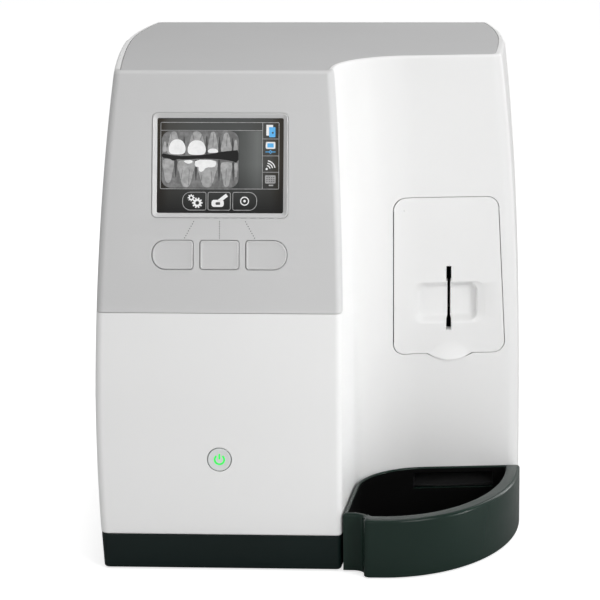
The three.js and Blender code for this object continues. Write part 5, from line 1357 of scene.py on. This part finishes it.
def radiograph():
    """Plain drawing of a bitewing radiograph: bone, teeth, crowns and fillings."""
    gaps = []
    for row in (UPPER_TEETH, LOWER_TEETH):
        places = sorted(row)
        for (x, wide, edge, neck, tip), (next_x, next_wide, *_) in zip(places, places[1:]):
            middle = (x + wide / 2 + next_x - next_wide / 2) / 2
            foot = [(middle - GAP_HALF, edge), (middle + GAP_HALF, edge)]
            peak = (middle, neck + (tip - neck) * GAP_SHARE)
            gaps.append(smoothed(foot + [(middle + GAP_NECK, neck), peak, (middle - GAP_NECK, neck)], 1))
    crowns = [crown(*row) for row in CROWNS] + [smoothed(outline, 1) for outline in FILLINGS]
    on_screen("film_bone", "screen_mid", 1, [framed(*FILM, radius=8.0, steps=10)])
    on_screen("film_gaps", "screen_dark", 2, gaps)
    on_screen("film_teeth", "screen_soft", 3, [tooth(*row) for row in UPPER_TEETH + LOWER_TEETH])
    on_screen("film_canals", "screen_mid", 4, lines=[(canal, FRAME_STROKE, False) for canal in CANALS])
    on_screen("film_bite", "screen_black", 4, [smoothed(BITE, 1)])
    on_screen("film_crowns", "screen_white", 5, crowns)


def ring_line(x, z, radius, width, start=0.0, end=math.tau):
    """A circle or an arc as a line of the picture."""
    return ring_of(x, z, radius, RING_SIDES, start, end), width, end - start > FULL_TURN


def gear(x, z, radius, teeth):
    """Lines of a small gear: its ring and its teeth."""
    ring_share, ring_width, reach, tooth_width = GEAR_SHARES
    at = Vector((x, z))
    spokes = []
    for index in range(teeth):
        way = Vector((math.cos(math.tau * index / teeth), math.sin(math.tau * index / teeth)))
        spokes.append(([at + way * radius, at + way * (radius * reach)], radius * tooth_width, False))
    return [ring_line(x, z, radius * ring_share, radius * ring_width)] + spokes


def screen_frame():
    """Frame lines and key outlines of the picture."""
    left, right, low, high = PICTURE
    lines = [
        (framed(*PICTURE, radius=0.8), FRAME_STROKE, True),
        ([(left, HEADER_LINE), (COLUMN_LINE, HEADER_LINE)], THIN_STROKE, False),
        ([(COLUMN_LINE, low), (COLUMN_LINE, high)], FRAME_STROKE, False),
    ]
    lines += [([(COLUMN_LINE, z), (right, z)], THIN_STROKE, False) for z in SIGN_LINES]
    for start, end, side in KEY_SIGNS:
        corners = []
        for x, z in ((start, 0), (end, 0), (end, 1), (start, 1)):
            outer = side != 0 and (x == end) == (side > 0)
            corners.append((x, KEY_SIGN_HEIGHTS[z], KEY_SIGN_CORNERS[outer], KEY_SIGN_STEPS))
        lines.append((rounded_outline(corners), FRAME_STROKE, True))
    on_screen("screen_lines", "screen_soft", 6, lines=lines)
    on_screen("screen_side_field", "screen_side", 1, [framed(*SIDE_FIELD, radius=0.3, steps=1)])


def screen_signs():
    """Side signs and key signs of the picture."""
    white = [framed(*plate) for plate in WHITE_PLATES]
    white[2:] = [ring_of(*WAVE_DISC), *white[2:], HANDLE, ring_of(*HELP_DISC)]
    lines = [ring_line(*WAVE_DISC[:2], radius, HELP_RING[3], *WAVE_ENDS) for radius in WAVE_RADII]
    lines += [line for row in GEARS for line in gear(*row)] + [ring_line(*HELP_RING)]
    on_screen("screen_signs", "screen_white", 2, white, lines)
    blue = [framed(*plate) for plate in BLUE_PLATES] + [DIAMOND]
    on_screen("screen_blue_signs", "screen_blue", 4, blue, [(NETWORK_LINE, BLUE_STROKE, False)])
    on_screen("screen_grey_signs", "screen_soft", 2, [framed(*plate) for plate in GREY_PLATES])
    columns, rows = PIXEL_PLACES
    wide, tall, corner = PIXEL
    marks = [framed(x, x + wide, z, z + tall, corner, steps=2) for x in columns for z in rows]
    marks += [framed(*DARK_PLATE)] + [ring_of(*disc) for disc in DARK_DISCS]
    on_screen("screen_marks", "screen_dark", 5, marks)


class SCANNER_OT_picture(bpy.types.Operator):
    """Draw the picture and the signs on the screen"""
    bl_idname = "scanner.picture"
    bl_label = "Picture on the screen"

    def execute(self, context):
        radiograph()
        screen_frame()
        screen_signs()
        return {"FINISHED"}


# Power button

# Depths and insets of the cap's section
CAP_PROFILE = (
    (0.0068, 0.0), (0.0048, 0.0), (-0.0003, 0.0003), (-0.0006, 0.0003), (-0.0008, 0.0008), (-0.0007, 0.0016),
    (-0.0005, 0.0028), (-0.0004, 0.005),
)
CAP_FLANGE = (0.0036, 0.0048, 0.0122)
SYMBOL_RADIUS = 0.0041
SYMBOL_STROKE = 0.0016
SYMBOL_SIDES = 40
SYMBOL_TOP = 90
SYMBOL_GAP = 38
SYMBOL_BAR = (0.05, 1.25)
SYMBOL_DEPTH = -0.0003
SYMBOL_THICKNESS = 0.00022


def power_cap():
    """Pale round button with a dished face."""
    seat = INTO_SCENE @ Matrix.Translation(on_power(0)) @ UPRIGHT
    rings = [(-depth, ring_of(0, 0, POWER_RADIUS - inward, ROUND_SIDES)) for depth, inward in CAP_PROFILE]
    start, end, radius = CAP_FLANGE
    cap = loft("power_cap", rings, seat)
    join(cap, bar("flange", on_power(start), on_power(end), radius, ROUND_SIDES))
    finish(cap, "start_button", "clear_white", "power_button", sharp=SOFT_ANGLE)


def power_symbol():
    """Lit ring with a gap and a bar in it, printed on the button."""
    ends = (math.radians(SYMBOL_TOP + SYMBOL_GAP), math.radians(SYMBOL_TOP + 360 - SYMBOL_GAP))
    arc = ring_of(0, 0, SYMBOL_RADIUS, SYMBOL_SIDES, *ends)
    stroke = [Vector((0, SYMBOL_RADIUS * share)) for share in SYMBOL_BAR]
    lines = [(points, SYMBOL_STROKE, False) for points in (arc, stroke)]
    seat = INTO_SCENE @ Matrix.Translation(on_power(0))
    symbol = print_layer("power_symbol", [], lines, seat, SYMBOL_DEPTH, SYMBOL_THICKNESS)
    finish(symbol, "start_button", "clear_white", look="symbol_green", sharp=None)


class SCANNER_OT_button(bpy.types.Operator):
    """Build the power button and its lit symbol"""
    bl_idname = "scanner.button"
    bl_label = "Power button"

    def execute(self, context):
        power_cap()
        power_symbol()
        return {"FINISHED"}


def door_leaf(sizes):
    """Access door with its dish, slot, thumb lip and hinge knuckles."""
    grow = DOOR_ROOM - sizes.door_gap
    skin = cut(body_solid("door_leaf"), body_solid("door hollow", DOOR_THICKNESS))
    common(skin, door_prism("door part", grow))
    bowl = common(dish_solid("bowl", DISH_WALL, 0), body_solid("bowl room", DOOR_THICKNESS / 2))
    behind_slot = INTO_SCENE @ Matrix.Translation((0, face_plane(SLOT_X, SLOT_HEIGHT), 0))
    guide = prism("guide", slot_plan(GUIDE_WALL), (0, GUIDE_DEPTH), behind_slot)
    join(guide, *hinge_bars("knuckle", 0, KNUCKLE_LENGTH, KNUCKLE_RADIUS))
    common(guide, body_solid("guide room", DOOR_THICKNESS / 4), door_prism("guide part", 0))
    join(skin, bowl, guide, common(thumb_lip("lip"), door_prism("lip part", grow)))
    cut(skin, dish_solid("dish", 0, -OVERRUN, rolled=True))
    cut(skin, prism("slot", slot_plan(0), DOOR_DEPTHS), slot_bevel("slot edge", 0, sizes.slot_bevel))
    edge = slot_bevel("dish slot edge", DISH_DEPTH, sizes.slot_bevel)
    cut(skin, common(edge, dish_solid("dish part", MM, -OVERRUN)))
    cut(skin, *hinge_bars("bore", -PIN_IN_HOUSING, PIN_IN_DOOR + PLAY, BORE_RADIUS))
    finish(skin, "door", "shell_white", "access_door")


class SCANNER_OT_door(bpy.types.Operator):
    """Build the access door"""
    bl_idname = "scanner.door"
    bl_label = "Access door"

    def execute(self, context):
        door_leaf(context.scene.scanner_sizes)
        return {"FINISHED"}


# Catch tray

TRAY_TOP = 0.053
TRAY_GAP = 0.001
TRAY_NOSE = 0.054
TRAY_REACH = 0.019
TRAY_BEND = 0.068
TRAY_RIGHT = 0.1905
TRAY_RIGHT_DEPTH = 0.151
TRAY_EDGE = 0.003
TRAY_HEEL = 0.001
TRAY_FLOOR = 0.004
TRAY_SKIN = 0.003
TRAY_STEPS = 40
NOSE_CORNER = 0.010
STEP_CORNER = 0.005
RIGHT_CORNER = 0.002
FLOOR_TOP = FOOT_HEIGHT + TRAY_FLOOR
# Heights over the tray's floor and how far the hollow's foot is inside its rim
HOLLOW_FOOT = ((0.0, -0.0028), (0.0004, -0.0015), (0.0012, -0.0006), (0.0026, 0))
CHANNEL_TOP = 0.048
MOUTH = ((0.0937, 0.1663), (FACE_DEPTH / 2, BODY_DEPTH), (0.033, 0.048))
# Thickness and foot of the near-black sheet of painted shade in the tray's hollow
SHADE_SHEET = 0.0004
SHADE_SHEET_FOOT = -0.0030

Rims = namedtuple("Rims", "back front nose")
TRAY_RIMS = Rims(0.004, 0.0125, 0.0045)


def tray_outline(rims):
    """Plan of the tray, drawn in by its rim at the back, the front and the nose."""
    wall_side = column_wall(0, BASE_TOP) + TRAY_GAP + rims.back
    wall_back = wall_side + WALL_SLANT * FACE_DEPTH
    reach_x = TRAY_RIGHT - TRAY_BEND - rims.front
    reach_y = TRAY_RIGHT_DEPTH + TRAY_REACH - rims.front
    right = TRAY_BEND + reach_x

    def face_y(x):
        return face_plane(x, BASE_TOP) - TRAY_GAP - rims.back

    angles = [(step / TRAY_STEPS - 1) * math.pi / 2 for step in range(1, TRAY_STEPS)]
    curve = [
        (TRAY_BEND + reach_x * math.cos(angle), TRAY_RIGHT_DEPTH + reach_y * math.sin(angle), 0, 0)
        for angle in angles
    ]
    return rounded_outline([
        (wall_side, rims.nose, 0, 0),
        (TRAY_NOSE + rims.nose, rims.nose, NOSE_CORNER + rims.nose, 10),
        (TRAY_NOSE + rims.nose, rims.front - TRAY_REACH, STEP_CORNER, 8),
        *curve,
        (right, face_y(right), RIGHT_CORNER, 5),
        (wall_back, face_y(wall_back), COVE_RADIUS - TRAY_GAP - rims.back, 24),
    ])


def tray_outer(inset):
    """Plan of the tray's outside, drawn in by an inset."""
    return tray_outline(Rims(inset, inset, inset))


def tray_inner(out):
    """Plan of the tray's hollow, drawn out from its rim."""
    return tray_outline(Rims(*(rim - out for rim in TRAY_RIMS)))


def tray_shell():
    """Dark catch tray with a rolled rim, its exit mouth and its two tongues."""
    low = edge_round(UNDERSIDE, TRAY_HEEL, even(TRAY_HEEL), -1, steps=4)[::-1]
    high = edge_round(TRAY_TOP, TRAY_EDGE, even(TRAY_EDGE), 1, steps=9)
    tray = loft("tray_shell", [(z, tray_outer(inset.side)) for z, inset in low + high])
    lips = edge_round(TRAY_TOP, TRAY_EDGE / 2, even(TRAY_EDGE / 2), 1, steps=6)
    hollow = [(FLOOR_TOP + over, tray_inner(out)) for over, out in HOLLOW_FOOT]
    hollow += [(z, tray_inner(inset.side)) for z, inset in lips]
    hollow.append((TRAY_TOP + OVERRUN, tray_inner(TRAY_EDGE / 2)))
    channel = cut(
        loft("channel", [(z, tray_outer(TRAY_SKIN)) for z in (-OVERRUN, CHANNEL_TOP)]),
        loft("channel core", [(z, tray_inner(TRAY_SKIN)) for z in (-OVERRUN * 2, TRAY_TOP)]),
    )
    cut(tray, channel, block("mouth", *MOUTH))
    for left in TONGUES:
        front = face_plane(left, BASE_TOP) - TRAY_GAP - TONGUE_START
        join(tray, block("tongue", (left, left + TONGUE_WIDE), (front, front + TONGUE_LENGTH),
                         (FLOOR_TOP + PLAY, FLOOR_TOP + PLAY + TONGUE_TALL)))
    cut(tray, loft("tray hollow", hollow))
    finish(tray, "tray", "tray_green", "collection_tray")


def tray_pad():
    """Near-black matte sheet over the tray's floor and walls up to the rim's inner edge: painted shade that
    makes the hollow read dark.
    """
    heel, foot = HOLLOW_FOOT[-1][0], HOLLOW_FOOT[0][1]
    outer = ((FLOOR_TOP - SHADE_SHEET / 4, foot), (FLOOR_TOP + heel, SHADE_SHEET / 4), (TRAY_TOP - TRAY_EDGE / 2, SHADE_SHEET / 4))
    inner = ((FLOOR_TOP + SHADE_SHEET, SHADE_SHEET_FOOT), (FLOOR_TOP + heel + SHADE_SHEET, -SHADE_SHEET), (TRAY_TOP, -SHADE_SHEET))
    shade_sheet = loft("tray_pad", [(z, tray_inner(out)) for z, out in outer])
    cut(shade_sheet, loft("pad hollow", [(z, tray_inner(out)) for z, out in inner]), block("mouth", *MOUTH))
    finish(shade_sheet, "tray", "tray_green", look="tray_pad")


class SCANNER_OT_tray(bpy.types.Operator):
    """Build the catch tray and the near-black sheet of painted shade in its hollow"""
    bl_idname = "scanner.tray"
    bl_label = "Catch tray"

    def execute(self, context):
        tray_shell()
        tray_pad()
        return {"FINISHED"}


class SCANNER_OT_finishes(bpy.types.Operator):
    """Give the parts kept from the model their finishes"""
    bl_idname = "scanner.finishes"
    bl_label = "Finishes of the kept parts"

    def execute(self, context):
        surfaces = finishes()
        slots = {entry["node"]: entry["material_slot"] for entry in frame["record"]["subparts"]}
        for name, thing in frame["nodes"].items():
            if slots[name] not in surfaces:
                raise ValueError(f"{name} has no finish for {slots[name]}")
            for place in thing.material_slots:
                place.material = surfaces[slots[name]]
        return {"FINISHED"}


# Camera, light and floor

CAMERA_PLACE = (0.1420, -2.4887, 0.7925)
CAMERA_ANGLES = (13.36, 3.52, -0.46)
CAMERA_LENS = 168
CAMERA_SENSOR = 36
CAMERA_REACH = 50
# Name, place, target, width, height, power in watts and spread in degrees
LAMPS = (
    ("key", (1.25, -1.45, 0.95), (0.05, -0.02, 0.22), 1.0, 1.0, 13.8, 180),
    ("fill", (-0.5, -1.9, 0.6), (0.0, 0.0, 0.15), 1.2, 1.2, 3.4, 180),
    ("top", (0.1, 0.1, 1.9), (0.0, 0.0, 0.2), 1.0, 1.0, 8, 180),
    ("rim", (0.9, 0.7, 0.4), (0.15, 0.0, 0.2), 0.3, 1.0, 3.0, 180),
    ("strip", (1.2, -0.2, 0.22), (0.04, -0.125, 0.22), 0.1, 0.5, 0.075, 12),
)
AMBIENT = 0.416
MIRRORED_FROM = (0.0, 0.7)
MIRRORED_LEVELS = (0.112, 0.56)
FLOOR = ((-4, 4), (-4, 6), (-0.02, 0))
FLOOR_TONE = (0.80, 0.80, 0.80, 1)
FLOOR_MIRRORED = (0.30, 0.30, 0.30, 1)
FLOOR_LIFT = 0.66


def camera():
    """The camera at the photograph's place and angle."""
    pitch, yaw, roll = (math.radians(angle) for angle in CAMERA_ANGLES)
    forward = Vector((-math.sin(yaw) * math.cos(pitch), math.cos(yaw) * math.cos(pitch), -math.sin(pitch)))
    level = Vector((math.cos(yaw), math.sin(yaw), 0))
    up = level.cross(forward)
    right = level * math.cos(roll) + up * math.sin(roll)
    up = -level * math.sin(roll) + up * math.cos(roll)
    data = bpy.data.cameras.new("camera")
    data.lens = CAMERA_LENS
    data.sensor_width = CAMERA_SENSOR
    data.clip_end = CAMERA_REACH
    eye = new_object("camera", data)
    turn = Matrix((right, up, -forward)).transposed().to_4x4()
    eye.matrix_world = Matrix.Translation(CAMERA_PLACE) @ turn
    bpy.context.scene.camera = eye


def lamp(name, at, target, wide, tall, power, spread):
    """A soft rectangular lamp that points at a place, with a grid that narrows its spread in degrees."""
    data = bpy.data.lights.new(name, "AREA")
    data.shape = "RECTANGLE"
    data.size = wide
    data.size_y = tall
    data.energy = power
    data.spread = math.radians(spread)
    thing = new_object(name, data)
    run = Vector(target) - Vector(at)
    thing.matrix_world = Matrix.Translation(at) @ run.to_track_quat("-Z", "Y").to_matrix().to_4x4()


def surroundings():
    """Plain ambient light, with white behind the object for what looks at it or mirrors it."""
    world = bpy.data.worlds.new("studio")
    world.use_nodes = True
    bpy.context.scene.world = world
    tree = world.node_tree
    tree.nodes.clear()
    place = put(tree, "ShaderNodeTexCoord", (-5, 0)).outputs["Generated"]
    parts = put(tree, "ShaderNodeSeparateXYZ", (-4, 0), {0: place}).outputs
    behind = ranged(tree, (-3, 0), parts["Y"], MIRRORED_FROM, MIRRORED_LEVELS)
    rays = put(tree, "ShaderNodeLightPath", (-5, 2)).outputs
    white = reckon(tree, (-3, 2), "MAXIMUM", rays["Is Camera Ray"], rays["Is Transmission Ray"])
    inputs = {"Factor": rays["Is Glossy Ray"], 2: AMBIENT, 3: behind}
    ambient = put(tree, "ShaderNodeMix", (-2, 0), inputs, data_type="FLOAT").outputs[0]
    inputs = {"Factor": white, 2: ambient, 3: 1.0}
    strength = put(tree, "ShaderNodeMix", (-1, 0), inputs, data_type="FLOAT").outputs[0]
    back = put(tree, "ShaderNodeBackground", (0, 0), {"Color": WHITE, "Strength": strength}).outputs[0]
    put(tree, "ShaderNodeOutputWorld", (1, 0), {"Surface": back})


def floor():
    """Pale floor that reads white to the camera and keeps the object's shadow."""
    thing = block("floor", *FLOOR, Matrix.Identity(4))
    made, tree, shader = new_material("Pale floor")
    rays = put(tree, "ShaderNodeLightPath", (-3, 1)).outputs
    tone = blend(tree, (-1, 2), rays["Is Glossy Ray"], FLOOR_TONE, FLOOR_MIRRORED)
    seen = reckon(tree, (-2, 1), "MAXIMUM", rays["Is Camera Ray"], rays["Is Transmission Ray"])
    lift = reckon(tree, (-1, 1), "MULTIPLY", seen, FLOOR_LIFT)
    feed(tree, shader, {"Base Color": tone, "Roughness": 0.9, "Specular IOR Level": 0.1,
                        "Emission Color": WHITE, "Emission Strength": lift})
    thing.data.materials.append(made)


class SCANNER_OT_stage(bpy.types.Operator):
    """Set the camera, the lamps, the surroundings and the floor"""
    bl_idname = "scanner.stage"
    bl_label = "Camera, light and floor"

    def execute(self, context):
        context.scene.view_settings.view_transform = "Standard"
        camera()
        surroundings()
        floor()
        for row in LAMPS:
            lamp(*row)
        return {"FINISHED"}


class SCANNER_PT_sidebar(bpy.types.Panel):
    bl_label = "Plate Scanner"
    bl_space_type = "VIEW_3D"
    bl_region_type = "UI"
    bl_category = "Scanner"

    def draw(self, context):
        for group in (context.scene.scanner_sizes, context.scene.scanner_colours):
            for name in type(group).__annotations__:
                self.layout.prop(group, name)
        for step in STEPS:
            self.layout.operator(step.bl_idname)


STEPS = (SCANNER_OT_stage, SCANNER_OT_shells, SCANNER_OT_panel, SCANNER_OT_picture, SCANNER_OT_button,
         SCANNER_OT_door, SCANNER_OT_tray, SCANNER_OT_finishes)
CLASSES = (ScannerSizes, ScannerColours, *STEPS, SCANNER_PT_sidebar)


def register():
    for kind in CLASSES:
        bpy.utils.register_class(kind)
    bpy.types.Scene.scanner_sizes = PointerProperty(type=ScannerSizes)
    bpy.types.Scene.scanner_colours = PointerProperty(type=ScannerColours)


def unregister():
    del bpy.types.Scene.scanner_colours
    del bpy.types.Scene.scanner_sizes
    for kind in reversed(CLASSES):
        bpy.utils.unregister_class(kind)


def main():
    register()
    for step in STEPS:
        area, name = step.bl_idname.split(".")
        getattr(getattr(bpy.ops, area), name)()


if __name__ == "__main__":
    main()
